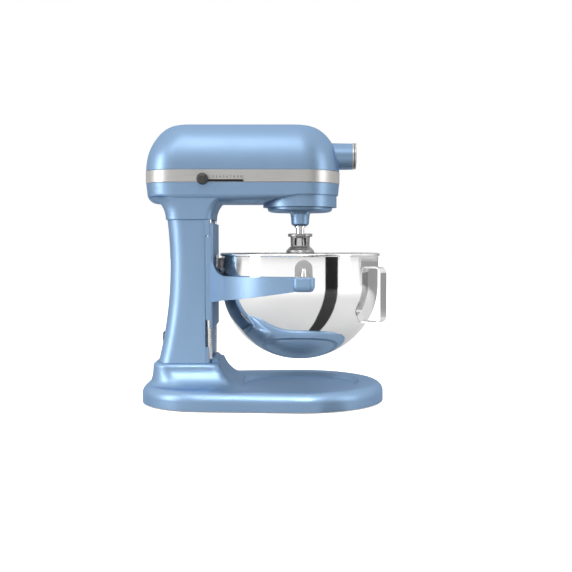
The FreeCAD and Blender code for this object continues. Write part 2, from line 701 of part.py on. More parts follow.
def hub_cover():
    """The round flap over the hub, hung on a knuckle at its top."""
    radius = HUB_RADIUS - 0.9
    edge = 1.0
    profile = [
        (COVER_BACK_X, 0), (COVER_BACK_X, radius), (COVER_FRONT_X - edge, radius),
        (COVER_FRONT_X, radius - edge), (COVER_FRONT_X, 0),
    ]
    disc = turned_along_x(profile, HUB_Z)
    knuckle = rod(1.7, V(HINGE_X, -2.9, HINGE_Z), V(HINGE_X, 2.9, HINGE_Z))
    web = box(COVER_BACK_X, COVER_FRONT_X, -2.9, 2.9, HUB_Z + radius - 3, HINGE_Z)
    relief = rod(3.4, V(HINGE_X, 2.9, HINGE_Z), V(HINGE_X, 6.6, HINGE_Z))
    pin_hole = rod(1.0 + RUNNING_GAP, V(HINGE_X, -8, HINGE_Z), V(HINGE_X, 8, HINGE_Z))
    return cut(fuse([disc, knuckle, web]), both_sides(relief) + [pin_hole])


def attachment_knob():
    """The fluted thumbscrew on the far side of the hub."""
    grip = rod(10.0, V(HUB_SCREW_X, 23.0, HUB_Z), V(HUB_SCREW_X, 36.0, HUB_Z))
    grip = grip.makeChamfer(1.2, [edge for edge in grip.Edges if len(edge.Vertexes) == 1][1:])
    flutes = []
    for step in range(10):
        angle = math.radians(36.0 * step)
        x = HUB_SCREW_X + 11.0 * math.cos(angle)
        z = HUB_Z + 11.0 * math.sin(angle)
        flutes.append(rod(1.9, V(x, 24.6, z), V(x, 40, z)))
    tip = V(HUB_SCREW_X, HUB_BORE_RADIUS + 0.3, HUB_Z)
    stem = rod(HUB_SCREW_HOLE - 0.1, tip, V(HUB_SCREW_X, 24.0, HUB_Z))
    return cut(grip, flutes).fuse(stem)


# ---- motor ----
def along_motor(radius, x0, x1):
    return rod(radius, V(x0, 0, ARMATURE_Z), V(x1, 0, ARMATURE_Z))


def motor_tube(outer, inner, x0, x1):
    return along_motor(outer, x0, x1).cut(along_motor(inner, x0 - 1, x1 + 1))


def tie_rods(radius, x0, x1):
    rods = []
    for step in range(4):
        angle = math.radians(45 + 90 * step)
        y = TIE_RADIUS * math.cos(angle)
        z = ARMATURE_Z + TIE_RADIUS * math.sin(angle)
        rods.append(rod(radius, V(x0, y, z), V(x1, y, z)))
    return rods


def motor_stator():
    return cut(motor_tube(32.0, 21.0, *STATOR_X), tie_rods(2.0, STATOR_X[0] - 1, STATOR_X[1] + 1))


def field_coils():
    return [
        motor_tube(26.0, 21.5, STATOR_X[0] - 9, STATOR_X[0]),
        motor_tube(26.0, 21.5, STATOR_X[1], STATOR_X[1] + 9),
    ]


def motor_brackets():
    rear = motor_tube(32.0, BEARING_RADIUS, *REAR_BRACKET_X)
    front = motor_tube(32.0, BEARING_RADIUS, *FRONT_BRACKET_X)
    foot = box(FRONT_BRACKET_X[0], FRONT_BRACKET_X[1], -20, 20, HEAD_BOTTOM_Z + HEAD_WALL, 316)
    foot = foot.cut(along_motor(BEARING_RADIUS, FRONT_BRACKET_X[0] - 1, FRONT_BRACKET_X[1] + 1))
    return [rear, front.fuse(foot)] + tie_rods(2.0, REAR_BRACKET_X[1], FRONT_BRACKET_X[0])


def motor_bearings():
    inner = ARMATURE_RADIUS + RUNNING_GAP
    return [motor_tube(BEARING_RADIUS, inner, *span) for span in (REAR_BRACKET_X, FRONT_BRACKET_X)]


def brush_holders():
    holder = box(COMMUTATOR_X[0] + 3, FRONT_BRACKET_X[0], 12.4, 30.0, ARMATURE_Z - 4, ARMATURE_Z + 4)
    return both_sides(holder)


def armature_shaft():
    """The motor shaft with the worm cut on its front end."""
    shaft = along_motor(ARMATURE_RADIUS, REAR_BRACKET_X[0] - 2, WORM_X[1] + 4)
    length = WORM_X[1] - WORM_X[0]
    helix = Part.makeHelix(WORM_LEAD, length, ARMATURE_RADIUS)
    depth = WORM_TIP_RADIUS - ARMATURE_RADIUS
    section = [V(-0.6, -1.1), V(depth, -0.6), V(depth, 0.6), V(-0.6, 1.1)]
    corners = [V(ARMATURE_RADIUS + p.x, 0, p.y) for p in section]
    profile = Part.makePolygon(corners + corners[:1])
    thread = Part.Wire(helix.Edges).makePipeShell([profile], True, True)
    turns = (WHEEL_X - WORM_X[0]) / WORM_LEAD
    thread.rotate(V(0, 0, 0), Z_AXIS, -360.0 * (turns % 1.0))
    thread.rotate(V(0, 0, 0), Y_AXIS, 90)
    thread.rotate(V(0, 0, 0), X_AXIS, WORM_PHASE)
    thread.translate(V(WORM_X[0], 0, ARMATURE_Z))
    return shaft.fuse(thread)


def armature_core():
    return motor_tube(20.0, ARMATURE_RADIUS, STATOR_X[0] + 1, STATOR_X[1] - 1)


def commutator():
    slots = []
    for step in range(12):
        rear, front = COMMUTATOR_X
        slot = box(rear - 1, front - 3, 11.0, 13.0, ARMATURE_Z - 0.35, ARMATURE_Z + 0.35)
        slot.rotate(V(0, 0, ARMATURE_Z), X_AXIS, 30.0 * step)
        slots.append(slot)
    return cut(motor_tube(12.0, ARMATURE_RADIUS, *COMMUTATOR_X), slots)


def cooling_fan():
    hub = motor_tube(9.0, ARMATURE_RADIUS, *FAN_X)
    blades = []
    for step in range(9):
        blade = box(FAN_X[0] + 1, FAN_X[1] - 1, 8.0, 24.5, ARMATURE_Z - 0.8, ARMATURE_Z + 0.8)
        blade.rotate(V(0, 0, ARMATURE_Z), X_AXIS, 40.0 * step)
        blades.append(blade)
    return fuse([hub] + blades)


def control_board():
    board = box(-104, -64, -48.0, -46.4, HEAD_BOTTOM_Z + 22, HEAD_BOTTOM_Z + 70)
    heat_sink = box(-100, -84, -46.4, -38.0, HEAD_BOTTOM_Z + 48, HEAD_BOTTOM_Z + 68)
    capacitor = rod(6.0, V(-74, -46.4, HEAD_BOTTOM_Z + 60), V(-74, -36.0, HEAD_BOTTOM_Z + 60))
    return fuse([board, heat_sink, capacitor])


# ---- transmission ----
def transmission_case():
    """The bell over the gears: a wall about the centre gear and a roof that carries the upper bushes."""
    wall = upright_tube(CASE_RADIUS, CASE_RADIUS - 3.0, BOWL_X, 0, WEB_TOP_Z, CASE_ROOF_Z)
    wall = wall.cut(box(-20, 34, -60, 60, WEB_TOP_Z - 1, CASE_ROOF_Z))
    roof = upright(CASE_RADIUS, BOWL_X, 0, CASE_ROOF_Z, CASE_TOP_Z)
    roof = roof.fuse(box(-12, BOWL_X, -20, 48, CASE_ROOF_Z, CASE_TOP_Z))
    holes = [
        upright(BUSH_RADIUS, BOWL_X, 0, CASE_ROOF_Z - 1, CASE_TOP_Z + 1),
        upright(AXLE_RADIUS, WHEEL_X, WHEEL_Y, CASE_ROOF_Z - 1, CASE_TOP_Z + 1),
    ]
    return cut(wall.fuse(roof), holes)


def wheel_axle():
    return upright(AXLE_RADIUS, WHEEL_X, WHEEL_Y, WEB_TOP_Z - 6, CASE_TOP_Z)


def center_bushes():
    inner = CENTER_SHAFT_RADIUS + RUNNING_GAP
    return [
        upright_tube(BUSH_RADIUS, inner, BOWL_X, 0, WEB_BOTTOM_Z, WEB_TOP_Z),
        upright_tube(BUSH_RADIUS, inner, BOWL_X, 0, CASE_ROOF_Z, CASE_TOP_Z),
    ]


def hub_bush():
    bore = HUB_SHAFT_RADIUS + RUNNING_GAP
    return tube(BUSH_RADIUS, bore, V(HUB_BACK_X, 0, HUB_Z), V(HUB_POCKET_X, 0, HUB_Z))


def ring_gear():
    radius = MODULE * RING_TEETH / 2
    radii = (radius - 0.7 * MODULE, radius + 1.1 * MODULE)
    outline = Part.Face(gear_outline(RING_TEETH, radii, (0.36, 0.20), 0, GEAR_Z[0]))
    spaces = outline.extrude(V(0, 0, GEAR_Z[1] - GEAR_Z[0]))
    spaces.translate(V(BOWL_X, 0, 0))
    return upright(GEAR_SEAT_RADIUS, BOWL_X, 0, *GEAR_Z).cut(spaces)


def planet_pinion():
    gear = spur_gear(PLANET_TEETH, MODULE, 0, BOWL_X, BEATER_Y, GEAR_Z[0] + 0.5, GEAR_Z[1] - 0.5)
    return gear.cut(upright(BEATER_SHAFT_RADIUS, BOWL_X, BEATER_Y, 290, 310))


def planetary_carrier():
    """The disc that carries the beater shaft round, with its hub above and its boss below."""
    disc = turned([
        (0, CARRIER_TOP_Z), (CARRIER_RADIUS, CARRIER_TOP_Z), (CARRIER_RADIUS, CARRIER_TOP_Z - 3),
        (CARRIER_RADIUS - 1.2, CARRIER_TOP_Z - 5), (CARRIER_RADIUS - 4, CARRIER_TOP_Z - 6.4),
        (CARRIER_RADIUS - 8, CARRIER_TOP_Z - 7), (0, CARRIER_TOP_Z - 7),
    ], BOWL_X, 0)
    hub = upright(13.6, BOWL_X, 0, CARRIER_TOP_Z - 1, WEB_BOTTOM_Z - 0.4)
    low = CARRIER_TOP_Z - 7
    boss = turned([
        (0, low + 1), (19.0, low + 1), (16.2, low - 1.2), (14.6, low - 4.0), (13.9, low - 8.0),
        (13.2, BOSS_LOW_Z + 3), (10.0, BOSS_LOW_Z), (0, BOSS_LOW_Z),
    ], BOWL_X, BEATER_Y)
    bores = [
        upright(CENTER_SHAFT_RADIUS, BOWL_X, 0, CARRIER_TOP_Z - 5, WEB_BOTTOM_Z),
        upright(BEATER_BUSH_RADIUS, BOWL_X, BEATER_Y, BOSS_LOW_Z - 1, CARRIER_TOP_Z + 1),
    ]
    return cut(fuse([disc, hub, boss]), bores)


def beater_bushes():
    inner = BEATER_SHAFT_RADIUS + RUNNING_GAP
    return [
        upright_tube(BEATER_BUSH_RADIUS, inner, BOWL_X, BEATER_Y, BOSS_LOW_Z, BOSS_LOW_Z + 10),
        upright_tube(BEATER_BUSH_RADIUS, inner, BOWL_X, BEATER_Y, CARRIER_TOP_Z - 8, CARRIER_TOP_Z),
    ]


def center_shaft():
    return upright(CENTER_SHAFT_RADIUS, BOWL_X, 0, CARRIER_TOP_Z - 5, HUB_Z - BEVEL_RADIUS * BEVEL_SHRINK)


def center_gear():
    toward_wheel = math.degrees(math.atan2(WHEEL_Y, WHEEL_X - BOWL_X))
    gear = spur_gear(CENTER_TEETH, MODULE, toward_wheel, BOWL_X, 0, 318.0, 328.0)
    pockets = []
    for step in range(6):
        angle = math.radians(60 * step)
        pockets.append(upright(10.0, BOWL_X + 28 * math.cos(angle), 28 * math.sin(angle), 317, 329))
    return cut(gear, pockets + [upright(CENTER_SHAFT_RADIUS, BOWL_X, 0, 317, 329)])


def worm_wheel():
    """The worm wheel and, on the same hub, the pinion that turns the centre gear."""
    toward_wheel = math.degrees(math.atan2(WHEEL_Y, WHEEL_X - BOWL_X))
    pinion_phase = toward_wheel + 180 + 180 / WHEEL_PINION_TEETH
    pinion = spur_gear(WHEEL_PINION_TEETH, MODULE, pinion_phase, WHEEL_X, WHEEL_Y, 316.0, 331.0)
    radius = WORM_MODULE * WORM_WHEEL_TEETH / 2
    wheel_phase = -90 + 180 / WORM_WHEEL_TEETH
    outline = gear_outline(WORM_WHEEL_TEETH, (radius - 1.6, radius + 0.1), (0.28, 0.17), wheel_phase, 334.0)
    wheel = Part.Face(outline).extrude(V(0, 0, 10.0))
    wheel.translate(V(WHEEL_X, WHEEL_Y, 0))
    hub = upright(9.0, WHEEL_X, WHEEL_Y, 316.0, 345.0)
    bore = upright(AXLE_RADIUS + RUNNING_GAP, WHEEL_X, WHEEL_Y, 310, 350)
    return fuse([pinion, wheel, hub]).cut(bore)


def bevel(phase):
    """A mitre gear on the vertical axis below the point where the two axes meet."""
    radii = (BEVEL_RADIUS - 2.4, BEVEL_RADIUS + 1.6)
    outer = gear_outline(BEVEL_TEETH, radii, (0.26, 0.09), phase, -BEVEL_RADIUS)
    small = [radius * BEVEL_SHRINK for radius in radii]
    inner = gear_outline(BEVEL_TEETH, small, (0.26, 0.09), phase, -BEVEL_RADIUS * BEVEL_SHRINK)
    gear = Part.makeLoft([outer, inner], True, True)
    return gear.fuse(cone(12.0, BEVEL_RADIUS - 2.6, V(0, 0, -BEVEL_RADIUS - 4), V(0, 0, -BEVEL_RADIUS)))


def center_bevel():
    gear = bevel(0)
    gear.translate(V(BOWL_X, 0, HUB_Z))
    return gear.cut(upright(CENTER_SHAFT_RADIUS, BOWL_X, 0, 340, 380))


def hub_drive():
    """The horizontal mitre gear, its shaft and the square socket that attachments plug into."""
    gear = bevel(180.0 / BEVEL_TEETH)
    gear.rotate(V(0, 0, 0), Y_AXIS, -90)
    gear.translate(V(BOWL_X, 0, HUB_Z))
    back_x = HUB_POCKET_X + 0.4
    face_x = HUB_FACE_X - HUB_BORE_DEPTH - 0.3
    shaft = rod(HUB_SHAFT_RADIUS, V(BOWL_X + BEVEL_RADIUS, 0, HUB_Z), V(back_x + 1, 0, HUB_Z))
    head = rod(DRIVE_HEAD_RADIUS, V(back_x, 0, HUB_Z), V(face_x, 0, HUB_Z))
    half = DRIVE_SQUARE / 2
    socket = box(back_x + 3, face_x + 1, -half, half, HUB_Z - half, HUB_Z + half)
    return fuse([gear, shaft, head]).cut(socket)


# ---- beater shaft and whip ----
def beater_shaft():
    return upright(BEATER_SHAFT_RADIUS, BOWL_X, BEATER_Y, SHAFT_LOW_Z, GEAR_Z[1] + 0.5).cut(shaft_pin())


def shaft_collar():
    return upright_tube(8.6, BEATER_SHAFT_RADIUS, BOWL_X, BEATER_Y, BOSS_LOW_Z - 2.2, BOSS_LOW_Z - 0.3)


def shaft_pin():
    return rod(2.5, V(BOWL_X - 11, BEATER_Y, PIN_Z), V(BOWL_X + 11, BEATER_Y, PIN_Z))


def whip_hub():
    """The cast hub of the wire whip: a flange, a neck with the pin slot and a skirt that grips the wires."""
    profile = [
        (0, 255.0), (17.6, 255.0), (18.4, 254.0), (18.4, 250.8), (14.6, 249.8), (14.2, 236.0),
        (16.5, 234.0), (20.5, 230.0), (21.4, 227.0), (20.0, 226.0), (17.0, 226.0), (17.0, 229.0),
        (12.0, 229.0), (12.0, 226.0), (0, 226.0),
    ]
    body = turned(profile, BOWL_X, BEATER_Y)
    bore = upright(BEATER_SHAFT_RADIUS + 0.15, BOWL_X, BEATER_Y, SHAFT_LOW_Z - 0.5, 256)
    slot = box(BOWL_X - 11.6, BOWL_X + 11.6, BEATER_Y - 2.6, BEATER_Y + 2.6, PIN_Z - 2.6, 250)
    entry = box(BOWL_X - 11.6, BOWL_X + 11.6, BEATER_Y - 2.6, BEATER_Y + 2.6, PIN_Z - 2.6, 256)
    entry.rotate(V(BOWL_X, BEATER_Y, 0), Z_AXIS, 24)
    window = box(BOWL_X - 9, BOWL_X + 9, BEATER_Y - 20, BEATER_Y + 20, 236.5, 249.0)
    return cut(body, [bore, slot, entry, window])


def whip_loop(low_z, turn):
    """One wire loop: two straight sides from the hub, tangent to a round bottom."""
    top = (14.5, 228.0)
    middle_z = low_z + WHIP_RADIUS
    away = math.hypot(top[0], top[1] - middle_z)
    lean = math.atan2(top[1] - middle_z, top[0])
    touch = lean - math.acos(WHIP_RADIUS / away)
    tangent = V(WHIP_RADIUS * math.cos(touch), 0, middle_z + WHIP_RADIUS * math.sin(touch))
    start = V(top[0], 0, top[1])
    bottom = V(0, 0, low_z)
    edges = [
        Part.makeLine(start, tangent),
        Part.Arc(tangent, bottom, V(-tangent.x, 0, tangent.z)).toShape(),
        Part.makeLine(V(-tangent.x, 0, tangent.z), V(-start.x, 0, start.z)),
    ]
    path = Part.Wire(edges)
    circle = Part.Wire(Part.makeCircle(WIRE_RADIUS, start, tangent - start))
    loop = path.makePipeShell([circle], True, False)
    loop.rotate(V(0, 0, 0), Z_AXIS, turn)
    loop.translate(V(BOWL_X, BEATER_Y, 0))
    return loop


def whip_wires():
    loops = []
    for step in range(WHIP_LOOPS):
        low_z = WHIP_LOW_Z + 2.2 * WIRE_RADIUS * step
        loops.append(whip_loop(low_z, 15 + 180.0 * step / WHIP_LOOPS))
    return loops


# ---- bowl ----
def bowl_outline(inset):
    """Half the bowl's section: a straight wall and two arcs down to the flat bottom."""
    join = math.radians(-BOWL_ARC_JOIN)
    side_cx = BOWL_RADIUS - BOWL_SIDE_ARC
    shift = BOWL_FLOOR_ARC - BOWL_SIDE_ARC
    floor_cx = side_cx - shift * math.cos(join)
    floor_cz = BOWL_SHOULDER_Z - shift * math.sin(join)
    side = BOWL_SIDE_ARC - inset
    floor = BOWL_FLOOR_ARC - inset
    last = -math.acos((BOWL_BOTTOM_RADIUS - floor_cx) / floor)

    def on_side(angle):
        return V(BOWL_X + side_cx + side * math.cos(angle), 0, BOWL_SHOULDER_Z + side * math.sin(angle))

    def on_floor(angle):
        return V(BOWL_X + floor_cx + floor * math.cos(angle), 0, floor_cz + floor * math.sin(angle))

    top = V(BOWL_X + BOWL_RADIUS - inset, 0, BOWL_RIM_Z)
    bottom = on_floor(last)
    center_low = V(BOWL_X, 0, bottom.z)
    center_top = V(BOWL_X, 0, BOWL_RIM_Z)
    edges = [
        Part.makeLine(top, on_side(0)),
        Part.Arc(on_side(0), on_side(join / 2), on_side(join)).toShape(),
        Part.Arc(on_floor(join), on_floor((join + last) / 2), bottom).toShape(),
        Part.makeLine(bottom, center_low),
        Part.makeLine(center_low, center_top),
        Part.makeLine(center_top, top),
    ]
    return Part.Face(Part.Wire(edges)).revolve(V(BOWL_X, 0, 0), Z_AXIS, 360)


def bowl():
    rim = Part.makeTorus(BOWL_RADIUS + 0.4, RIM_BEAD_RADIUS, V(BOWL_X, 0, BOWL_RIM_Z))
    inner = bowl_outline(BOWL_WALL)
    above = upright(BOWL_RADIUS - BOWL_WALL, BOWL_X, 0, BOWL_RIM_Z - 1, BOWL_RIM_Z + 5)
    return cut(bowl_outline(0).fuse(rim), [inner, above])


def wall_band(z0, z1, from_deg, to_deg, thickness):
    """A strip wrapped on the bowl's straight wall."""
    ring = upright_tube(BOWL_RADIUS + thickness, BOWL_RADIUS, BOWL_X, 0, z0, z1)
    reach = 200.0
    corners = [V(BOWL_X, 0, z0)]
    for degrees in (from_deg, (from_deg + to_deg) / 2, to_deg):
        corners.append(corner(BOWL_X, 0, reach, degrees, z0))
    wedge = Part.Face(Part.makePolygon(corners + corners[:1])).extrude(V(0, 0, z1 - z0))
    return ring.common(wedge)


def side_bracket():
    """One hanger: a domed plate on the wall and a tab with a hole that drops over the arm's pin."""
    half = 12.6
    plate = upright_tube(BOWL_RADIUS + 1.6, BOWL_RADIUS, BOWL_X, 0, ARM_TOP_Z, 217)
    dome_shape = box(PIN_X - half, PIN_X + half, 100, 130, ARM_TOP_Z, 204)
    dome_shape = dome_shape.fuse(rod(half, V(PIN_X, 100, 204), V(PIN_X, 130, 204)))
    tab = box(PIN_X - half, PIN_X + half, 110, 134, ARM_TOP_Z, ARM_TOP_Z + 1.8)
    tab = tab.fuse(box(PIN_X - half + 6, PIN_X + half - 6, 134, 140, ARM_TOP_Z, ARM_TOP_Z + 1.8))
    for x in (PIN_X - half + 6, PIN_X + half - 6):
        tab = tab.fuse(upright(6.0, x, 134, ARM_TOP_Z, ARM_TOP_Z + 1.8))
    tab = tab.cut(upright(BOWL_RADIUS, BOWL_X, 0, ARM_TOP_Z - 1, ARM_TOP_Z + 3))
    tab = tab.cut(upright(4.6, PIN_X, PIN_Y, ARM_TOP_Z - 1, ARM_TOP_Z + 3))
    return plate.common(dome_shape).fuse(tab).removeSplitter()


def bowl_side_brackets():
    return both_sides(side_bracket())


def bowl_rear_bracket():
    """The hook at the back of the bowl that clips behind the latch spring."""
    plate = wall_band(202.0, 219.0, 171.0, 189.0, 1.6)
    hook_x = BOWL_X - BOWL_RADIUS - 4.2
    lobes = [upright(1.9, hook_x, y, 203.0, 218.0) for y in (-9.0, 9.0)]
    arms = [box(hook_x, BOWL_X - BOWL_RADIUS - 0.6, y - 1.0, y + 1.0, 206.0, 215.0) for y in (-9.0, 9.0)]
    body = fuse([plate] + lobes + arms)
    return body.cut(upright(BOWL_RADIUS, BOWL_X, 0, 190, 230))


def handle_strap():
    """The U-shaped strap, drawn straight ahead of the bowl and then turned to its place."""
    outer_x = BOWL_X + HANDLE_RADIUS
    inner_x = BOWL_X + 96.0
    bend = 9.0
    t = HANDLE_STRAP

    def path(offset):
        top = HANDLE_TOP_Z - offset
        low = HANDLE_LOW_Z + offset
        x = outer_x - offset
        r = bend - offset
        diagonal = r * (1 - math.sqrt(0.5))
        return [V(inner_x, 0, top), V(x - r, 0, top), V(x - diagonal, 0, top - diagonal), V(x, 0, top - r),
                V(x, 0, low + r), V(x - diagonal, 0, low + diagonal), V(x - r, 0, low), V(inner_x, 0, low)]

    def run(p):
        return [
            Part.makeLine(p[0], p[1]), Part.Arc(p[1], p[2], p[3]).toShape(), Part.makeLine(p[3], p[4]),
            Part.Arc(p[4], p[5], p[6]).toShape(), Part.makeLine(p[6], p[7]),
        ]

    outer = path(0)
    inner = path(t)
    ends = [Part.makeLine(outer[0], inner[0]), Part.makeLine(outer[-1], inner[-1])]
    edges = run(outer) + run(inner) + ends
    wire = Part.Wire(Part.__sortEdges__(edges))
    strap = Part.Face(wire).extrude(V(0, HANDLE_WIDTH, 0))
    strap.translate(V(0, -HANDLE_WIDTH / 2, 0))
    return strap


def bowl_handle():
    strap = handle_strap()
    strap.rotate(V(BOWL_X, 0, 0), Z_AXIS, HANDLE_ANGLE)
    strap = strap.cut(bowl_outline(0))
    plate = wall_band(HANDLE_TOP_Z - 0.6, 219.5, HANDLE_ANGLE - 16.0, HANDLE_ANGLE + 16.0, 1.6)
    return strap.fuse(plate)


# ---- bowl yoke ----
def arm_profile(y0, y1):
    """The side view of both arms: level on top, tapering to the tip, with a web up to the plate."""
    root_low = ARM_TOP_Z - ARM_ROOT_DEPTH
    tip_low = ARM_TOP_Z - ARM_TIP_DEPTH
    web = 20.0
    start = V(YOKE_BACK_X, y0, ARM_TOP_Z + web)
    foot = V(YOKE_FRONT_X + web, y0, ARM_TOP_Z)
    bulge = V(YOKE_FRONT_X + web * 0.29, y0, ARM_TOP_Z + web * 0.29)
    shoulder = V(YOKE_FRONT_X, y0, ARM_TOP_Z + web)
    tip_x = PIN_X - 4.0
    edges = [
        Part.makeLine(start, shoulder),
        Part.Arc(shoulder, bulge, foot).toShape(),
        Part.makeLine(foot, V(tip_x, y0, ARM_TOP_Z)),
        Part.makeLine(V(tip_x, y0, ARM_TOP_Z), V(tip_x, y0, tip_low + 1.5)),
        Part.makeLine(V(tip_x, y0, tip_low + 1.5), V(YOKE_FRONT_X + 12, y0, root_low)),
        Part.makeLine(V(YOKE_FRONT_X + 12, y0, root_low), V(YOKE_BACK_X, y0, root_low - 4)),
        Part.makeLine(V(YOKE_BACK_X, y0, root_low - 4), start),
    ]
    return Part.Face(Part.Wire(edges)).extrude(V(0, y1 - y0, 0))


def arm_root():
    """The wedge that carries an arm's outer face straight back to the side of the plate."""
    bend_y = 79.0
    bend_x = BOWL_X - math.sqrt(ARM_OUTER_RADIUS ** 2 - bend_y ** 2)
    low_z, high_z = 140.0, 225.0
    corners = [
        V(YOKE_BACK_X + 1.0, RAIL_OUTER_Y, low_z), V(bend_x, bend_y, low_z),
        V(bend_x + 8, bend_y - 4, low_z), V(YOKE_FRONT_X + 6, RAIL_OUTER_Y - 10, low_z),
        V(YOKE_BACK_X + 1.0, RAIL_OUTER_Y - 10, low_z),
    ]
    return Part.Face(Part.makePolygon(corners + corners[:1])).extrude(V(0, 0, high_z - low_z))


def arm_tip():
    """The rounded boss at the end of an arm, with its lower edge turned in."""
    low = ARM_TOP_Z - ARM_TIP_DEPTH
    wires = []
    for angle in reversed(quarter(6)):
        wires.append(tip_plan(low + 9.0 * (1 - math.sin(angle)), 6.5 * (1 - math.cos(angle))))
    wires += [tip_plan(ARM_TOP_Z - 1.2, 0.0), tip_plan(ARM_TOP_Z, 1.2)]
    return Part.makeLoft(wires, True, True)


def tip_plan(z, inset):
    reach = 15.5 - inset
    wire = rounded_plan(z, PIN_X - reach, PIN_X + reach, 11.0 - inset, 8.0 - inset, 9.5 - inset)
    wire.translate(V(0, PIN_Y, 0))
    return wire


def lifting_lug():
    """The block behind the yoke plate, and the level slot in it that takes the crank's pin."""
    rear = LEVER_X - CRANK_RADIUS - CRANK_PIN_RADIUS
    front = LEVER_X - CRANK_RADIUS * math.cos(math.radians(CRANK_ANGLE)) + CRANK_PIN_RADIUS
    y0, y1 = LUG_Y
    lug = box(rear - 6.5, YOKE_BACK_X, y0, y1, CRANK_PIN_Z - LUG_HALF_HEIGHT, CRANK_PIN_Z + LUG_HALF_HEIGHT)
    half = CRANK_PIN_RADIUS + CRANK_SLOT_CLEARANCE
    return lug, box(rear - 2, front + 2, y0 - 1, y1 + 1, CRANK_PIN_Z - half, CRANK_PIN_Z + half)


def latch_shank(y, front_x):
    return rod(1.6, V(YOKE_FRONT_X - 4, y, LATCH_SCREW_Z), V(front_x, y, LATCH_SCREW_Z))


def bowl_yoke():
    """The sliding carriage: front plate, side rails over the guide rods, two arms and the lifting lug."""
    plate = rounded_plan(YOKE_BOTTOM_Z, YOKE_BACK_X - 8, YOKE_FRONT_X, RAIL_OUTER_Y, 1.0, 4.5)
    plate = Part.Face(plate).extrude(V(0, 0, YOKE_TOP_Z - YOKE_BOTTOM_Z))
    plate = plate.cut(box(YOKE_BACK_X - 20, YOKE_BACK_X, -80, 80, YOKE_BOTTOM_Z - 1, YOKE_TOP_Z + 1))
    rail = box(NOTCH_X + 0.6, YOKE_BACK_X, NOTCH_Y + 0.6, RAIL_OUTER_Y, RAIL_BOTTOM_Z, RAIL_TOP_Z)
    ring = upright_tube(ARM_OUTER_RADIUS, ARM_INNER_RADIUS, BOWL_X, 0, 140, 225)
    arms = fuse([ring] + both_sides(arm_root())).common(arm_profile(-150, 150))
    tips = both_sides(arm_tip())
    lug, crank_slot = lifting_lug()
    latch_pocket = box(YOKE_FRONT_X, YOKE_FRONT_X + 20, -20, 20, ARM_TOP_Z, YOKE_TOP_Z)
    tools = [crank_slot, latch_pocket]
    for side in (-1, 1):
        tools.append(upright(YOKE_BUSH_RADIUS, ROD_X, side * ROD_Y, YOKE_BOTTOM_Z - 1, YOKE_TOP_Z + 1))
        tools.append(upright(4.0, PIN_X, side * PIN_Y, ARM_TOP_Z - 12, ARM_TOP_Z + 1))
        tools.append(latch_shank(side * LATCH_SCREW_Y, YOKE_FRONT_X + 1))
    return cut(fuse([plate, arms, lug] + both_sides(rail) + tips), tools)


def locating_pins():
    pins = []
    for y in (-PIN_Y, PIN_Y):
        shank = upright(4.0, PIN_X, y, ARM_TOP_Z - 12, ARM_TOP_Z)
        pins.append(shank.fuse(cone(4.0, 2.2, V(PIN_X, y, ARM_TOP_Z), V(PIN_X, y, ARM_TOP_Z + 12.5))))
    return pins


def slide_bushes():
    inner = ROD_RADIUS + RUNNING_GAP
    bushes = []
    for y in (-ROD_Y, ROD_Y):
        for z in (RAIL_BOTTOM_Z + 2, RAIL_TOP_Z - 22):
            bushes.append(upright_tube(YOKE_BUSH_RADIUS, inner, ROD_X, y, z, z + 20))
    return bushes


def bowl_latch_spring():
    """The bent leaf spring on the yoke plate that holds the back of the bowl down."""
    x = YOKE_FRONT_X
    t = 0.8
    crests = [(x + 2.6, 211.5), (x + 1.2, 214.5), (x + 2.8, 217.5), (x + 1.2, 220.5), (x + 2.4, 223.5)]
    back = [(x_crest - t, z) for x_crest, z in reversed(crests)]
    outline = [(x + t, 193.5), (x + t, 208.0)] + crests + back + [(x, 208.0), (x, 193.5)]
    leaf = side_profile(outline, -16.0, 16.0)
    return cut(leaf, [latch_shank(y, x + 2) for y in (-LATCH_SCREW_Y, LATCH_SCREW_Y)])


def latch_screws():
    screws = []
    seat_x = YOKE_FRONT_X + 0.8
    for y in (-LATCH_SCREW_Y, LATCH_SCREW_Y):
        head = cone(3.2, 2.2, V(seat_x, y, LATCH_SCREW_Z), V(seat_x + 1.6, y, LATCH_SCREW_Z))
        screws.append(latch_shank(y, seat_x).fuse(head))
    return screws


# ---- bowl lift ----
def lift_shaft():
    return rod(LEVER_SHAFT_RADIUS, V(LEVER_X, CRANK_Y[0], LEVER_Z), V(LEVER_X, LEVER_ARM_Y[1] + 1, LEVER_Z))


def lift_crank():
    """The crank on the inner end of the lift shaft, with the pin that carries the yoke's lug."""
    angle = math.radians(180 - CRANK_ANGLE)
    pin_x = LEVER_X + CRANK_RADIUS * math.cos(angle)
    pin_z = LEVER_Z + CRANK_RADIUS * math.sin(angle)
    web = box(LEVER_X, LEVER_X + CRANK_RADIUS, CRANK_Y[0], CRANK_Y[1], LEVER_Z - 5, LEVER_Z + 5)
    web.rotate(V(LEVER_X, 0, LEVER_Z), Y_AXIS, -math.degrees(angle))
    ends = [
        rod(10.5, V(LEVER_X, CRANK_Y[0], LEVER_Z), V(LEVER_X, CRANK_Y[1], LEVER_Z)),
        rod(6.0, V(pin_x, CRANK_Y[0], pin_z), V(pin_x, CRANK_Y[1], pin_z)),
        rod(CRANK_PIN_RADIUS, V(pin_x, LUG_Y[0] - 1, pin_z), V(pin_x, CRANK_Y[0], pin_z)),
    ]
    shaft_hole = rod(LEVER_SHAFT_RADIUS, V(LEVER_X, CRANK_Y[0], LEVER_Z), V(LEVER_X, CRANK_Y[1], LEVER_Z))
    return fuse([web] + ends).cut(shaft_hole)


def lever_bushes():
    inner = LEVER_SHAFT_RADIUS + RUNNING_GAP
    spans = [(24.0, 29.0), (44.0, 54.5)]
    return [tube(LEVER_BUSH_RADIUS, inner, V(LEVER_X, a, LEVER_Z), V(LEVER_X, b, LEVER_Z)) for a, b in spans]


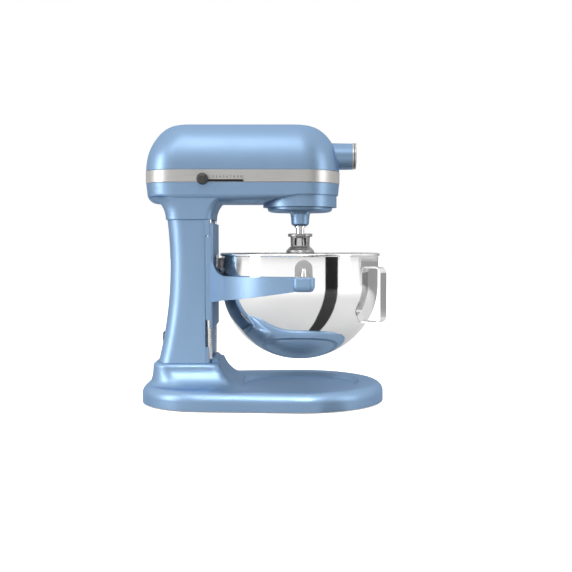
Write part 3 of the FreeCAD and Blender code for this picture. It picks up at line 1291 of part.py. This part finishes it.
def lift_lever_arm():
    """The hand lever on the far side of the column, straight up while the bowl is raised."""
    y0, y1 = LEVER_ARM_Y
    top_z = LEVER_Z + LEVER_LENGTH
    hub = rod(11.0, V(LEVER_X, y0, LEVER_Z), V(LEVER_X, y1, LEVER_Z))
    eye = rod(7.0, V(LEVER_X, y0, top_z), V(LEVER_X, y1, top_z))
    outline = [(LEVER_X - 9, LEVER_Z), (LEVER_X + 9, LEVER_Z), (LEVER_X + 6, top_z), (LEVER_X - 6, top_z)]
    arm = side_profile(outline, y0, y1)
    holes = [
        rod(LEVER_SHAFT_RADIUS, V(LEVER_X, y0 - 1, LEVER_Z), V(LEVER_X, y1 + 1, LEVER_Z)),
        rod(3.0, V(LEVER_X, y0 + 2, top_z), V(LEVER_X, y1 + 1, top_z)),
    ]
    return cut(fuse([hub, eye, arm]), holes)


def lift_lever_knob():
    y1 = LEVER_ARM_Y[1]
    z = LEVER_Z + LEVER_LENGTH
    ball = turned_along_y([
        (0, y1), (5.5, y1), (6.5, y1 + 3), (9.5, y1 + 8), (10.0, y1 + 14), (8.0, y1 + 19), (4.0, y1 + 21),
        (0, y1 + 21),
    ], LEVER_X, z)
    return ball.fuse(rod(3.0, V(LEVER_X, LEVER_ARM_Y[0] + 2, z), V(LEVER_X, y1 + 1, z)))


# ---- speed control ----
def speed_knob():
    face_y = -HEAD_HALF_WIDTH - 0.9
    cap = turned_along_y([
        (0, face_y), (KNOB_RADIUS, face_y), (KNOB_RADIUS, face_y - 7), (KNOB_RADIUS - 1.6, face_y - 9.4),
        (KNOB_RADIUS - 4.0, face_y - 10.2), (0, face_y - 10.2),
    ], KNOB_X, KNOB_Z)
    stem = box(KNOB_X - 2.5, KNOB_X + 2.5, face_y - 1, LINK_Y[0], SLOT_Z[0] + 1.1, SLOT_Z[1] - 1.1)
    return cap.fuse(stem)


def speed_link():
    blade = box(KNOB_X - 38, KNOB_X + SPEED_TRAVEL + 4, LINK_Y[0], LINK_Y[1], 328.0, 338.0)
    wiper = box(KNOB_X - 3, KNOB_X + 3, LINK_Y[1], -48.6, 330.0, 335.0)
    return blade.fuse(wiper)


# ---- all nodes ----
def stand_parts():
    """The parts of the base and the column."""
    return {
        "base_casting": base_casting(),
        "base_underplate": base_underplate(),
        "rubber_feet": rubber_feet(),
        "base_screws": base_screws(),
        "column_casting": column_casting(),
        "frame_bolts": column_bolts() + head_bolts(),
        "guide_rods": guide_rods(),
        "cord_gland": cord_gland(),
    }


def head_parts():
    """The head's shells and what is fixed to them."""
    return {
        "head_lower_housing": head_lower_housing(),
        "head_top_cover": head_top_cover(),
        "trim_band": trim_band(),
        "speed_slot_guide": speed_slot_guide(),
        "attachment_hub": attachment_hub(),
        "hub_trim_ring": hub_trim_ring(),
        "hub_hinge_pin": hub_hinge_pin(),
    }


def motor_parts():
    """The parts of the motor and the gearbox that stay still."""
    return {
        "motor_stator": motor_stator(),
        "field_coils": field_coils(),
        "motor_brackets": motor_brackets(),
        "motor_bearings": motor_bearings(),
        "brush_holders": brush_holders(),
        "control_board": control_board(),
        "transmission_case": transmission_case(),
        "wheel_axle": wheel_axle(),
        "drive_bushes": center_bushes() + [hub_bush()],
        "ring_gear": ring_gear(),
        "lever_bushes": lever_bushes(),
    }


def carriage_parts():
    """The yoke and the bowl, which ride up and down."""
    return {
        "bowl_yoke": bowl_yoke(),
        "locating_pins": locating_pins(),
        "slide_bushes": slide_bushes(),
        "bowl_latch_spring": bowl_latch_spring(),
        "latch_screws": latch_screws(),
        "bowl": bowl(),
        "bowl_side_brackets": bowl_side_brackets(),
        "bowl_rear_bracket": bowl_rear_bracket(),
        "bowl_handle": bowl_handle(),
    }


def lever_parts():
    """The bowl lift lever and the speed lever."""
    return {
        "lift_shaft": lift_shaft(),
        "lift_crank": lift_crank(),
        "lift_lever_arm": lift_lever_arm(),
        "lift_lever_knob": lift_lever_knob(),
        "speed_knob": speed_knob(),
        "speed_link": speed_link(),
    }


def drive_parts():
    """Everything the motor turns, with the whip."""
    return {
        "planetary_carrier": planetary_carrier(),
        "beater_bushes": beater_bushes(),
        "center_shaft": center_shaft(),
        "center_gear": center_gear(),
        "center_bevel": center_bevel(),
        "beater_shaft": beater_shaft(),
        "planet_pinion": planet_pinion(),
        "shaft_collar": shaft_collar(),
        "shaft_pin": shaft_pin(),
        "whip_hub": whip_hub(),
        "whip_wires": whip_wires(),
        "armature_shaft": armature_shaft(),
        "armature_core": armature_core(),
        "commutator": commutator(),
        "cooling_fan": cooling_fan(),
        "worm_wheel": worm_wheel(),
    }


def hub_parts():
    """The moving parts of the attachment hub."""
    return {
        "hub_drive": hub_drive(),
        "hub_cover": hub_cover(),
        "attachment_knob": attachment_knob(),
    }


def main():
    os.makedirs("parts", exist_ok=True)
    groups = (stand_parts, head_parts, motor_parts, carriage_parts, lever_parts, drive_parts, hub_parts)
    for group in groups:
        for name, shape in group().items():
            if isinstance(shape, list):
                shape = Part.makeCompound(shape)
            shape.exportStep(f"parts/{name}.step")


main()
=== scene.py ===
import json
import math

import bmesh
import bpy
from mathutils import Matrix, Vector


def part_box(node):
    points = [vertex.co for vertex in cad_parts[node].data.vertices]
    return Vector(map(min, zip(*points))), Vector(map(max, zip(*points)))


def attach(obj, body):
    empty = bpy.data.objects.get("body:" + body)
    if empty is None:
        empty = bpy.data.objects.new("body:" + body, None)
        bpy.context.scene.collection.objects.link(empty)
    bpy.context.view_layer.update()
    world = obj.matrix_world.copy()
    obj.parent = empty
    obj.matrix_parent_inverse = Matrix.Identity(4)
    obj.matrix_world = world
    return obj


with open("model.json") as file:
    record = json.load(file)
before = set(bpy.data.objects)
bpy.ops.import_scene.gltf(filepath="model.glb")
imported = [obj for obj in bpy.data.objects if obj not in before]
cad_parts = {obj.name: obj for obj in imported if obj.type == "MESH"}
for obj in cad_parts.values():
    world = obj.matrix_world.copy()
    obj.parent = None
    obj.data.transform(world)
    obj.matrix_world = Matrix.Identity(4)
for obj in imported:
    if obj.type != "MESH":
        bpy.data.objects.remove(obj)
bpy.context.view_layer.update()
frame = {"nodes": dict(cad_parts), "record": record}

# The looks of a bowl-lift stand mixer around its CAD frame. Metres.
# +X is the front of the mixer, -Y is the side with the speed knob.

MM = 0.001
TEXTURE_LOW, TEXTURE_HIGH = 0.3, 0.7  # the range that most of a noise texture's values lie in


# ---- materials: one Graph per finish ----
class Graph:
    """The node graph of one material, with the textures that the finishes share."""

    def __init__(self, name, color, metallic, roughness, uniform=None):
        self.material = bpy.data.materials.new(name)
        self.material.use_nodes = True
        self.tree = self.material.node_tree
        self.shader = self.tree.nodes["Principled BSDF"]
        self.shader.inputs["Base Color"].default_value = (*color, 1.0)
        self.shader.inputs["Metallic"].default_value = metallic
        self.shader.inputs["Roughness"].default_value = roughness
        for socket, value in (uniform or {}).items():
            self.shader.inputs[socket].default_value = value

    def node(self, kind, **settings):
        made = self.tree.nodes.new(kind)
        for name, value in settings.items():
            setattr(made, name, value)
        return made

    def link(self, source, target):
        self.tree.links.new(source, target)

    def place(self, stretch=(1, 1, 1)):
        """Object coordinates, scaled differently along each axis."""
        coordinates = self.node("ShaderNodeTexCoord")
        mapping = self.node("ShaderNodeMapping")
        mapping.inputs["Scale"].default_value = stretch
        self.link(coordinates.outputs["Object"], mapping.inputs["Vector"])
        return mapping.outputs["Vector"]

    def noise(self, scale, detail=2.0, stretch=(1, 1, 1)):
        texture = self.node("ShaderNodeTexNoise")
        texture.inputs["Scale"].default_value = scale
        texture.inputs["Detail"].default_value = detail
        self.link(self.place(stretch), texture.inputs["Vector"])
        return texture.outputs["Fac"]

    def cells(self, scale, feature="F1"):
        texture = self.node("ShaderNodeTexVoronoi", feature=feature)
        texture.inputs["Scale"].default_value = scale
        self.link(self.place(), texture.inputs["Vector"])
        return texture.outputs["Distance"]

    def bands(self, scale, axis):
        texture = self.node("ShaderNodeTexWave", bands_direction=axis)
        texture.inputs["Scale"].default_value = scale
        self.link(self.place(), texture.inputs["Vector"])
        return texture.outputs["Fac"]

    def along(self, axis):
        """The object coordinate on one axis, in metres."""
        split = self.node("ShaderNodeSeparateXYZ")
        self.link(self.place(), split.inputs["Vector"])
        return split.outputs[axis]

    def above(self, axis, level):
        """1 where the object coordinate on an axis is above a level, in metres."""
        compare = self.node("ShaderNodeMath", operation="GREATER_THAN")
        compare.inputs[1].default_value = level
        self.link(self.along(axis), compare.inputs[0])
        return compare.outputs["Value"]

    def ramp(self, value, start, end, low=0.0, high=1.0):
        """A straight rise from low to high while a value goes from start to end."""
        span = self.node("ShaderNodeMapRange")
        for socket, number in zip(("From Min", "From Max", "To Min", "To Max"), (start, end, low, high)):
            span.inputs[socket].default_value = number
        self.link(value, span.inputs["Value"])
        return span.outputs["Result"]

    def remap(self, factor, low, high):
        """A texture's middle range, stretched between low and high."""
        return self.ramp(factor, TEXTURE_LOW, TEXTURE_HIGH, low, high)

    def blend(self, factor, first, second):
        """A colour between two; each is a colour or the output of a node."""
        mix = self.node("ShaderNodeMix", data_type="RGBA")
        first_socket, second_socket = mix.inputs[6], mix.inputs[7]
        self.link(factor, mix.inputs["Factor"])
        for socket, color in ((first_socket, first), (second_socket, second)):
            if isinstance(color, tuple):
                socket.default_value = (*color, 1.0)
            else:
                self.link(color, socket)
        return mix.outputs[2]

    def color(self, factor, low, high):
        self.link(self.blend(self.remap(factor, 0.0, 1.0), low, high), self.shader.inputs["Base Color"])

    def gloss(self, factor, low, high):
        self.link(self.remap(factor, low, high), self.shader.inputs["Roughness"])

    def soft_edges(self, radius_mm):
        """Sharp edges catch the light as if they were rounded off."""
        bevel = self.node("ShaderNodeBevel", samples=4)
        bevel.inputs["Radius"].default_value = radius_mm * MM
        self.link(bevel.outputs["Normal"], self.shader.inputs["Normal"])

    def bump(self, height, depth_mm, strength=1.0):
        """Relief on top of any relief the material has already."""
        bump = self.node("ShaderNodeBump")
        bump.inputs["Strength"].default_value = strength
        bump.inputs["Distance"].default_value = depth_mm * MM
        self.link(height, bump.inputs["Height"])
        normal = self.shader.inputs["Normal"]
        if normal.links:
            self.link(normal.links[0].from_socket, bump.inputs["Normal"])
        self.link(bump.outputs["Normal"], normal)


def shade(color, factor):
    return tuple(min(1.0, channel * factor) for channel in color)


def grey(level):
    return (level, level, level)


PAINT = (0.178, 0.272, 0.400)


def blue_paint():
    """Satin metallic enamel: fine flake, a trace of orange peel, a thin clear coat."""
    coat = {"Coat Weight": 0.15, "Coat Roughness": 0.28, "Specular Tint": (0.45, 0.68, 1.0, 1.0)}
    g = Graph("blue_paint", PAINT, 0.68, 0.40, coat)
    flake = g.noise(2600, 1.0)
    g.soft_edges(0.9)
    g.color(flake, shade(PAINT, 0.92), shade(PAINT, 1.09))
    g.gloss(g.noise(14, 3.0), 0.38, 0.45)
    g.bump(g.noise(420, 2.0), 0.012)
    return g.material


def satin_trim():
    """Champagne-silver trim, brushed along its length."""
    g = Graph("satin_trim", (0.44, 0.43, 0.417), 0.9, 0.36)
    streaks = g.noise(1.0, 3.0, (25, 700, 2600))
    g.color(streaks, (0.395, 0.386, 0.373), (0.485, 0.475, 0.46))
    g.gloss(streaks, 0.30, 0.44)
    g.bump(streaks, 0.006)
    return g.material


def bowl_steel():
    """Polished stainless steel with the faint turning lines of its spinning."""
    g = Graph("bowl_steel", (0.80, 0.80, 0.80), 1.0, 0.06)
    rings = g.noise(1.0, 2.0, (3, 3, 2600))
    g.color(g.noise(9, 2.0), (0.78, 0.78, 0.785), (0.83, 0.828, 0.82))
    g.gloss(rings, 0.035, 0.085)
    g.bump(rings, 0.0006)
    return g.material


def bracket_steel():
    """Bead-blasted steel of the plates that carry the bowl."""
    g = Graph("bracket_steel", (0.33, 0.33, 0.33), 0.9, 0.5)
    grain = g.noise(2400, 3.0)
    g.color(grain, (0.24, 0.24, 0.245), (0.42, 0.42, 0.42))
    g.gloss(grain, 0.42, 0.6)
    g.bump(grain, 0.03)
    return g.material


def rod_steel():
    """Ground steel of the guide rods and the lift shaft, with fine lines at one height after another."""
    g = Graph("rod_steel", (0.60, 0.59, 0.57), 1.0, 0.22)
    lines = g.noise(1.0, 2.0, (8, 8, 3000))
    g.color(lines, (0.54, 0.53, 0.51), (0.66, 0.65, 0.63))
    g.gloss(lines, 0.16, 0.30)
    g.bump(lines, 0.002)
    return g.material


def bright_steel():
    """Plated steel with small handling marks."""
    g = Graph("bright_steel", (0.72, 0.72, 0.73), 1.0, 0.13)
    marks = g.noise(600, 3.0)
    g.color(g.noise(60, 2.0), (0.68, 0.68, 0.69), (0.76, 0.76, 0.77))
    g.gloss(marks, 0.09, 0.18)
    g.bump(marks, 0.002)
    return g.material


def gear_steel():
    """Hardened steel with an oil film."""
    g = Graph("gear_steel", (0.36, 0.36, 0.37), 1.0, 0.32, {"Coat Weight": 0.4, "Coat Roughness": 0.1})
    g.color(g.noise(90, 3.0), (0.27, 0.265, 0.26), (0.45, 0.45, 0.46))
    g.gloss(g.noise(300, 2.0), 0.25, 0.42)
    g.bump(g.noise(1500, 2.0), 0.008)
    return g.material


def bronze():
    """Porous sintered bronze of the bushes and the worm wheel."""
    g = Graph("bronze", (0.46, 0.29, 0.12), 1.0, 0.42)
    pores = g.noise(1800, 3.0)
    g.color(pores, (0.34, 0.20, 0.08), (0.55, 0.36, 0.16))
    g.gloss(pores, 0.34, 0.52)
    g.bump(pores, 0.015)
    return g.material


def cast_metal():
    """Bare die casting."""
    g = Graph("cast_metal", (0.52, 0.52, 0.53), 0.95, 0.48)
    skin = g.noise(700, 4.0)
    g.color(skin, (0.44, 0.44, 0.45), (0.60, 0.60, 0.60))
    g.gloss(skin, 0.40, 0.58)
    g.bump(skin, 0.03)
    return g.material


def plastic(name, color, roughness, grain_scale, grain_mm):
    """Moulded plastic with a fine spark-eroded grain."""
    g = Graph(name, color, 0.0, roughness, {"Specular IOR Level": 0.5})
    grain = g.cells(grain_scale)
    g.color(g.noise(120, 2.0), shade(color, 0.85), shade(color, 1.15))
    g.gloss(grain, roughness - 0.05, roughness + 0.07)
    g.bump(grain, grain_mm)
    return g.material


def black_plastic():
    return plastic("black_plastic", (0.018, 0.018, 0.020), 0.42, 1600, 0.02)


def black_knob():
    return plastic("black_knob", (0.022, 0.022, 0.021), 0.36, 2200, 0.006)


def underplate_plastic():
    return plastic("underplate_plastic", (0.085, 0.085, 0.092), 0.55, 900, 0.05)


def rubber():
    """Matt black rubber with a dusty skin."""
    g = Graph("rubber", (0.03, 0.03, 0.031), 0.0, 0.75)
    g.color(g.noise(200, 4.0), (0.022, 0.022, 0.022), (0.045, 0.045, 0.046))
    g.gloss(g.noise(80, 2.0), 0.66, 0.85)
    g.bump(g.noise(900, 3.0), 0.04)
    return g.material


def zinc_screw():
    """Zinc plating, a little uneven from screw to screw."""
    g = Graph("zinc_screw", (0.58, 0.58, 0.56), 1.0, 0.3)
    g.color(g.noise(260, 3.0), (0.48, 0.48, 0.44), (0.66, 0.66, 0.66))
    g.gloss(g.noise(700, 2.0), 0.22, 0.4)
    g.bump(g.noise(1400, 2.0), 0.008)
    return g.material


def lamination():
    """Stacked electrical sheet: thin edges side by side along the motor."""
    g = Graph("lamination", (0.20, 0.20, 0.21), 0.85, 0.45)
    sheets = g.bands(320, "X")
    g.color(sheets, (0.12, 0.12, 0.13), (0.26, 0.26, 0.27))
    g.gloss(g.noise(400, 2.0), 0.38, 0.55)
    g.bump(sheets, 0.08)
    return g.material


def copper_winding():
    """Enamelled wire wound round the motor's axis."""
    g = Graph("copper_winding", (0.50, 0.20, 0.07), 0.8, 0.3, {"Coat Weight": 0.6, "Coat Roughness": 0.12})
    turns = g.bands(380, "X")
    g.color(turns, (0.25, 0.08, 0.03), (0.62, 0.27, 0.10))
    g.gloss(g.noise(500, 2.0), 0.24, 0.38)
    g.bump(turns, 0.25)
    return g.material


def board():
    """Green circuit board with pale tracks; what stands on it is dark."""
    sheet = 1.7 * MM
    parts_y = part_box("control_board")[0].y + sheet
    g = Graph("board", (0.02, 0.13, 0.05), 0.0, 0.35, {"Coat Weight": 0.5, "Coat Roughness": 0.2})
    tracks = g.remap(g.cells(220, "DISTANCE_TO_EDGE"), 0.0, 1.0)
    green = g.blend(tracks, (0.06, 0.27, 0.10), (0.015, 0.11, 0.04))
    dark = g.blend(g.noise(300, 2.0), (0.03, 0.03, 0.03), (0.09, 0.09, 0.09))
    g.link(g.blend(g.above("Y", parts_y), green, dark), g.shader.inputs["Base Color"])
    g.gloss(g.noise(300, 2.0), 0.28, 0.45)
    g.bump(tracks, 0.03)
    return g.material


def whip_metal():
    """The tumbled, slightly dull casting that holds the wires."""
    g = Graph("whip_metal", (0.27, 0.265, 0.26), 0.9, 0.38)
    skin = g.noise(900, 4.0)
    g.color(skin, (0.20, 0.197, 0.193), (0.34, 0.335, 0.33))
    g.gloss(skin, 0.30, 0.48)
    g.bump(skin, 0.02)
    return g.material


def printed_grey():
    """The thin ink of the numerals."""
    g = Graph("printed_grey", (0.03, 0.03, 0.03), 0.0, 0.6)
    g.color(g.noise(2500, 2.0), (0.02, 0.02, 0.02), (0.045, 0.045, 0.045))
    g.bump(g.noise(3000, 2.0), 0.005)
    return g.material


FINISHES = {
    maker.__name__: maker
    for maker in (
        blue_paint, satin_trim, bowl_steel, bracket_steel, rod_steel, bright_steel, gear_steel, bronze,
        cast_metal, black_plastic, black_knob, rubber, zinc_screw, lamination, copper_winding, board,
        underplate_plastic, whip_metal,
    )
}


def dress_frame():
    """Every CAD node gets the finish of its slot in the record."""
    made = {slot: maker() for slot, maker in FINISHES.items()}
    for subpart in frame["record"]["subparts"]:
        node = frame["nodes"][subpart["node"]]
        for slot in node.material_slots:
            slot.material = made[subpart["material_slot"]]
    return made


# ---- pieces that Blender adds ----
def piece(name, mesh, material, body):
    made = bpy.data.objects.new(name, mesh)
    mesh.materials.append(material)
    bpy.context.scene.collection.objects.link(made)
    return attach(made, body)


def on_surface(node, start, direction):
    """Where a ray first meets a CAD node, and the surface normal there."""
    hit, place, normal, _ = frame["nodes"][node].ray_cast(start, direction)
    if not hit:
        raise ValueError(f"the ray from {start} misses {node}")
    return place, normal


def glyph_mesh(text, size):
    """The mesh of one centred numeral in the X-Y plane."""
    curve = bpy.data.curves.new("glyph", "FONT")
    curve.body = text
    curve.size = size
    curve.align_x = "CENTER"
    curve.extrude = 0.06 * MM
    curve.resolution_u = 4
    holder = bpy.data.objects.new("glyph", curve)
    bpy.context.scene.collection.objects.link(holder)
    bpy.context.view_layer.update()
    mesh = bpy.data.meshes.new_from_object(holder.evaluated_get(bpy.context.evaluated_depsgraph_get()))
    bpy.data.objects.remove(holder)
    return mesh


def finished(shape, name):
    """A mesh made from a bmesh, which is then freed."""
    mesh = bpy.data.meshes.new(name)
    shape.to_mesh(mesh)
    shape.free()
    return mesh


def speed_numerals():
    """Ten numerals in a row just above the speed slot."""
    count, size = 10, 5.0 * MM
    knob_gap, end_gap, slot_gap = 1.5 * MM, 3.0 * MM, 2.0 * MM
    low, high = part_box("speed_slot_guide")
    first_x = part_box("speed_knob")[1].x + knob_gap
    last_x = high.x - end_gap
    in_front = low.y - 50 * MM
    shape = bmesh.new()
    for step in range(count):
        x = first_x + (last_x - first_x) * step / (count - 1)
        place, _ = on_surface("trim_band", Vector((x, in_front, high.z + slot_gap)), Vector((0, 1, 0)))
        mesh = glyph_mesh(str(step + 1), size)
        mesh.transform(Matrix.Translation(place) @ Matrix.Rotation(math.radians(90), 4, "X"))
        shape.from_mesh(mesh)
        bpy.data.meshes.remove(mesh)
    piece("speed_numerals", finished(shape, "speed_numerals"), printed_grey(), "stand")


def around(sides):
    """The angles of the points of a ring."""
    return [2 * math.pi * side / sides for side in range(sides)]


def wall(shape, low_ring, high_ring):
    """Faces between two rings of points."""
    sides = len(low_ring)
    for side in range(sides):
        following = (side + 1) % sides
        shape.faces.new((low_ring[side], low_ring[following], high_ring[following], high_ring[side]))


def dimple(shape, place, normal, radius, height):
    """A shallow round nugget, as a spot weld leaves."""
    rings, sides = 4, 20
    spot = Matrix.Translation(place) @ normal.to_track_quat("Z", "Y").to_matrix().to_4x4()
    rows = []
    for ring in range(rings):
        angle = math.radians(90) * ring / rings
        row_radius = radius * math.cos(angle)
        z = height * math.sin(angle)
        rows.append([
            shape.verts.new(spot @ Vector((row_radius * math.cos(turn), row_radius * math.sin(turn), z)))
            for turn in around(sides)
        ])
    top = shape.verts.new(spot @ Vector((0, 0, height)))
    for low_row, high_row in zip(rows, rows[1:]):
        wall(shape, low_row, high_row)
    for side in range(sides):
        shape.faces.new((rows[-1][side], rows[-1][(side + 1) % sides], top))
    shape.faces.new(list(reversed(rows[0])))


def spot_welds(finish):
    """A row of spot welds that holds the handle's plate to the bowl."""
    below_top, weld_radius, weld_height = 5.0 * MM, 1.3 * MM, 0.25 * MM
    grip_half = 7.0 * MM
    outside_bowl = 300 * MM
    low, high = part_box("bowl_handle")
    bowl_low, bowl_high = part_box("bowl")
    axis = (bowl_low + bowl_high) / 2
    center = Vector((axis.x, axis.y, high.z - below_top))
    middle = math.atan2((low.y + high.y) / 2 - axis.y, high.x - grip_half - axis.x)
    shape = bmesh.new()
    for degrees in (-4.5, -1.5, 1.5, 4.5):
        angle = middle + math.radians(degrees)
        outward = Vector((math.cos(angle), math.sin(angle), 0))
        place, normal = on_surface("bowl_handle", center + outward * outside_bowl, -outward)
        dimple(shape, place, normal, weld_radius, weld_height)
    mesh = finished(shape, "handle_welds")
    for face in mesh.polygons:
        face.use_smooth = True
    piece("handle_welds", mesh, finish, "carriage")


def whip_ferrule(finish):
    """The bright sleeve on the beater shaft, seen through the window of the whip's hub."""
    clearance, thickness, edge = 0.15 * MM, 2.2 * MM, 0.5 * MM
    above_hub_foot, below_hub_top = 10.6 * MM, 6.1 * MM
    shaft_low, shaft_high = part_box("beater_shaft")
    hub_low, hub_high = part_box("whip_hub")
    axis = (shaft_low + shaft_high) / 2
    inner = (shaft_high.x - shaft_low.x) / 2 + clearance
    outer = inner + thickness
    low, high = hub_low.z + above_hub_foot, hub_high.z - below_hub_top
    profile = [
        (inner, low), (outer, low), (outer, high - 4 * edge), (outer - edge, high - 3 * edge),
        (outer, high - 2 * edge), (outer, high - edge), (outer - edge, high), (inner, high),
    ]
    shape = bmesh.new()
    rings = [
        [shape.verts.new((axis.x + r * math.cos(a), axis.y + r * math.sin(a), z)) for a in around(48)]
        for r, z in profile
    ]
    for low_ring, high_ring in zip(rings, rings[1:] + rings[:1]):
        wall(shape, low_ring, high_ring)
    piece("whip_ferrule", finished(shape, "whip_ferrule"), finish, "beater")


# ---- studio ----
def lamp(name, place, target, size, power, spread=180.0):
    """A rectangular soft box aimed at a target; spread is how wide it throws, in degrees."""
    light = bpy.data.lights.new(name, "AREA")
    light.shape = "RECTANGLE"
    light.size, light.size_y = size
    light.energy = power
    light.spread = math.radians(spread)
    made = bpy.data.objects.new(name, light)
    made.location = place
    made.rotation_mode = "QUATERNION"
    made.rotation_quaternion = (Vector(target) - Vector(place)).to_track_quat("-Z", "Y")
    bpy.context.scene.collection.objects.link(made)


def reflected_card(name, corners, level):
    """A grey card that only polished metal sees."""
    mesh = bpy.data.meshes.new(name)
    mesh.from_pydata(corners, [], [tuple(range(len(corners)))])
    mesh.materials.append(Graph(name, grey(level), 0.0, 0.9).material)
    card = bpy.data.objects.new(name, mesh)
    for ray in ("visible_camera", "visible_diffuse", "visible_shadow", "visible_transmission"):
        setattr(card, ray, False)
    bpy.context.scene.collection.objects.link(card)


def dark_stripe(azimuth, width, distance, height):
    """Two black cards, one standing and one on the floor, that draw one stripe down the bowl.

    The azimuth and the width are degrees around the bowl's axis.
    """
    black = 0.004
    near, sweep = 0.1, 30.0
    floor_z = 2 * MM
    low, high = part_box("bowl")
    axis = (low + high) / 2

    def spot(degrees, reach, z):
        angle = math.radians(degrees)
        return (axis.x + reach * math.sin(angle), axis.y - reach * math.cos(angle), z)

    left, right = azimuth - width / 2, azimuth + width / 2
    standing = [spot(left, distance, floor_z), spot(right, distance, floor_z),
                spot(right, distance, height), spot(left, distance, height)]
    lying = [spot(left - sweep, near, floor_z), spot(right - sweep, near, floor_z),
             spot(right, distance, floor_z), spot(left, distance, floor_z)]
    reflected_card("stripe_standing", standing, black)
    reflected_card("stripe_lying", lying, black)


def painted_floor_reflection(g):
    """Painted reflection: what polished metal sees of the floor, greyer close to the mixer and behind it.
    """
    close, distant, behind = 0.42, 1.05, 0.30
    close_reach, distant_reach = 0.15, 2.0
    side_y, behind_y = 0.3, 1.2
    reach = g.node("ShaderNodeVectorMath", operation="LENGTH")
    g.link(g.place(), reach.inputs[0])
    away = g.ramp(reach.outputs["Value"], close_reach, distant_reach)
    around_mixer = g.blend(away, grey(close), grey(distant))
    return g.blend(g.ramp(g.along("Y"), side_y, behind_y), around_mixer, grey(behind))


def backdrop_white():
    """White for the camera, while the light it throws back on the mixer is held down."""
    g = Graph("floor", grey(0.93), 0.0, 0.55, {"Specular IOR Level": 0.0})
    thrown_back, glow = 0.46, 0.35
    rays = g.node("ShaderNodeLightPath")
    # glossy rays see the painted reflection greys; other rays that are not camera rays see a darker floor
    # that holds the bounced light down
    unseen = g.blend(rays.outputs["Is Glossy Ray"], grey(thrown_back), painted_floor_reflection(g))
    shown = g.blend(g.noise(3, 2.0), grey(0.93), grey(0.95))
    g.link(g.blend(rays.outputs["Is Camera Ray"], unseen, shown), g.shader.inputs["Base Color"])
    lift = g.node("ShaderNodeMath", operation="MULTIPLY")
    lift.inputs[1].default_value = glow
    g.link(rays.outputs["Is Camera Ray"], lift.inputs[0])
    g.link(lift.outputs["Value"], g.shader.inputs["Emission Strength"])
    g.shader.inputs["Emission Color"].default_value = (1.0, 1.0, 1.0, 1.0)
    return g.material


def floor():
    """A round floor so wide that its rim is out of sight."""
    radius = 14.0
    mesh = bpy.data.meshes.new("floor")
    rim = [(radius * math.cos(turn), radius * math.sin(turn), 0) for turn in around(96)]
    mesh.from_pydata(rim, [], [tuple(range(len(rim)))])
    mesh.materials.append(backdrop_white())
    made = bpy.data.objects.new("floor", mesh)
    bpy.context.scene.collection.objects.link(made)


def sky():
    """A white backdrop for the camera; the room around it is brighter overhead and darker behind.

    The room's level is the product of one ramp from front to back and one from floor to ceiling.
    """
    front_to_back = ((-1.0, 0.74), (-0.5, 1.05), (0.7, 1.10), (1.0, 0.50))
    floor_to_ceiling = ((-1.0, 0.80), (0.0, 0.76), (0.3, 0.92), (1.0, 1.38))
    world = bpy.data.worlds.new("studio")
    world.use_nodes = True
    tree = world.node_tree
    coordinates = tree.nodes.new("ShaderNodeTexCoord")
    split = tree.nodes.new("ShaderNodeSeparateXYZ")
    tree.links.new(coordinates.outputs["Generated"], split.inputs["Vector"])

    def levels(axis, stops):
        """Grey levels along an axis; each stop is a coordinate from -1 to 1 and a level."""
        span = tree.nodes.new("ShaderNodeMapRange")
        span.inputs["From Min"].default_value = -1.0
        tree.links.new(split.outputs[axis], span.inputs["Value"])
        ramp = tree.nodes.new("ShaderNodeValToRGB")
        while len(ramp.color_ramp.elements) < len(stops):
            ramp.color_ramp.elements.new(1.0)
        for element, (place, level) in zip(ramp.color_ramp.elements, stops):
            element.position = (place + 1) / 2
            element.color = (*grey(level), 1.0)
        tree.links.new(span.outputs["Result"], ramp.inputs["Fac"])
        return ramp.outputs["Color"]

    room = tree.nodes.new("ShaderNodeMath")
    room.operation = "MULTIPLY"
    tree.links.new(levels("Y", front_to_back), room.inputs[0])
    tree.links.new(levels("Z", floor_to_ceiling), room.inputs[1])
    rays = tree.nodes.new("ShaderNodeLightPath")
    mix = tree.nodes.new("ShaderNodeMix")
    tree.links.new(rays.outputs["Is Camera Ray"], mix.inputs[0])
    tree.links.new(room.outputs["Value"], mix.inputs[2])
    mix.inputs[3].default_value = 1.0
    tree.links.new(mix.outputs[0], tree.nodes["Background"].inputs["Strength"])
    tree.nodes["Background"].inputs["Color"].default_value = (1.0, 1.0, 1.0, 1.0)
    bpy.context.scene.world = world


def camera():
    """A normal lens a little above the bowl's rim, square to the mixer's side and tilted slightly down."""
    reach, drop = 1.370, 0.0632
    data = bpy.data.cameras.new("camera")
    data.sensor_width = 36.0
    data.lens = 56.0
    made = bpy.data.objects.new("camera", data)
    made.location = (0.0362, -reach, 0.238)
    made.rotation_euler = (math.radians(90.0) - math.atan2(drop, reach), 0.0, 0.0)
    bpy.context.scene.collection.objects.link(made)
    bpy.context.scene.camera = made


def studio():
    sky()
    floor()
    lamp("key", place=(-0.3, -1.2, 1.7), target=(0, 0, 0.28), size=(1.4, 0.6), power=13.0)
    lamp("left", place=(-1.7, -0.75, 0.6), target=(0, 0, 0.2), size=(0.5, 1.3), power=20.0)
    lamp("right", place=(1.7, -0.75, 0.6), target=(0, 0, 0.2), size=(0.5, 1.3), power=9.0)
    lamp("low", place=(0.1, -1.3, 0.9), target=(0, -0.05, 0), size=(1.0, 0.25), power=0.55, spread=16.0)
    dark_stripe(azimuth=44.0, width=19.0, distance=1.7, height=1.6)
    camera()
    bpy.context.scene.view_settings.view_transform = "Standard"


finishes = dress_frame()
speed_numerals()
spot_welds(finishes["bowl_steel"])
whip_ferrule(finishes["bright_steel"])
studio()
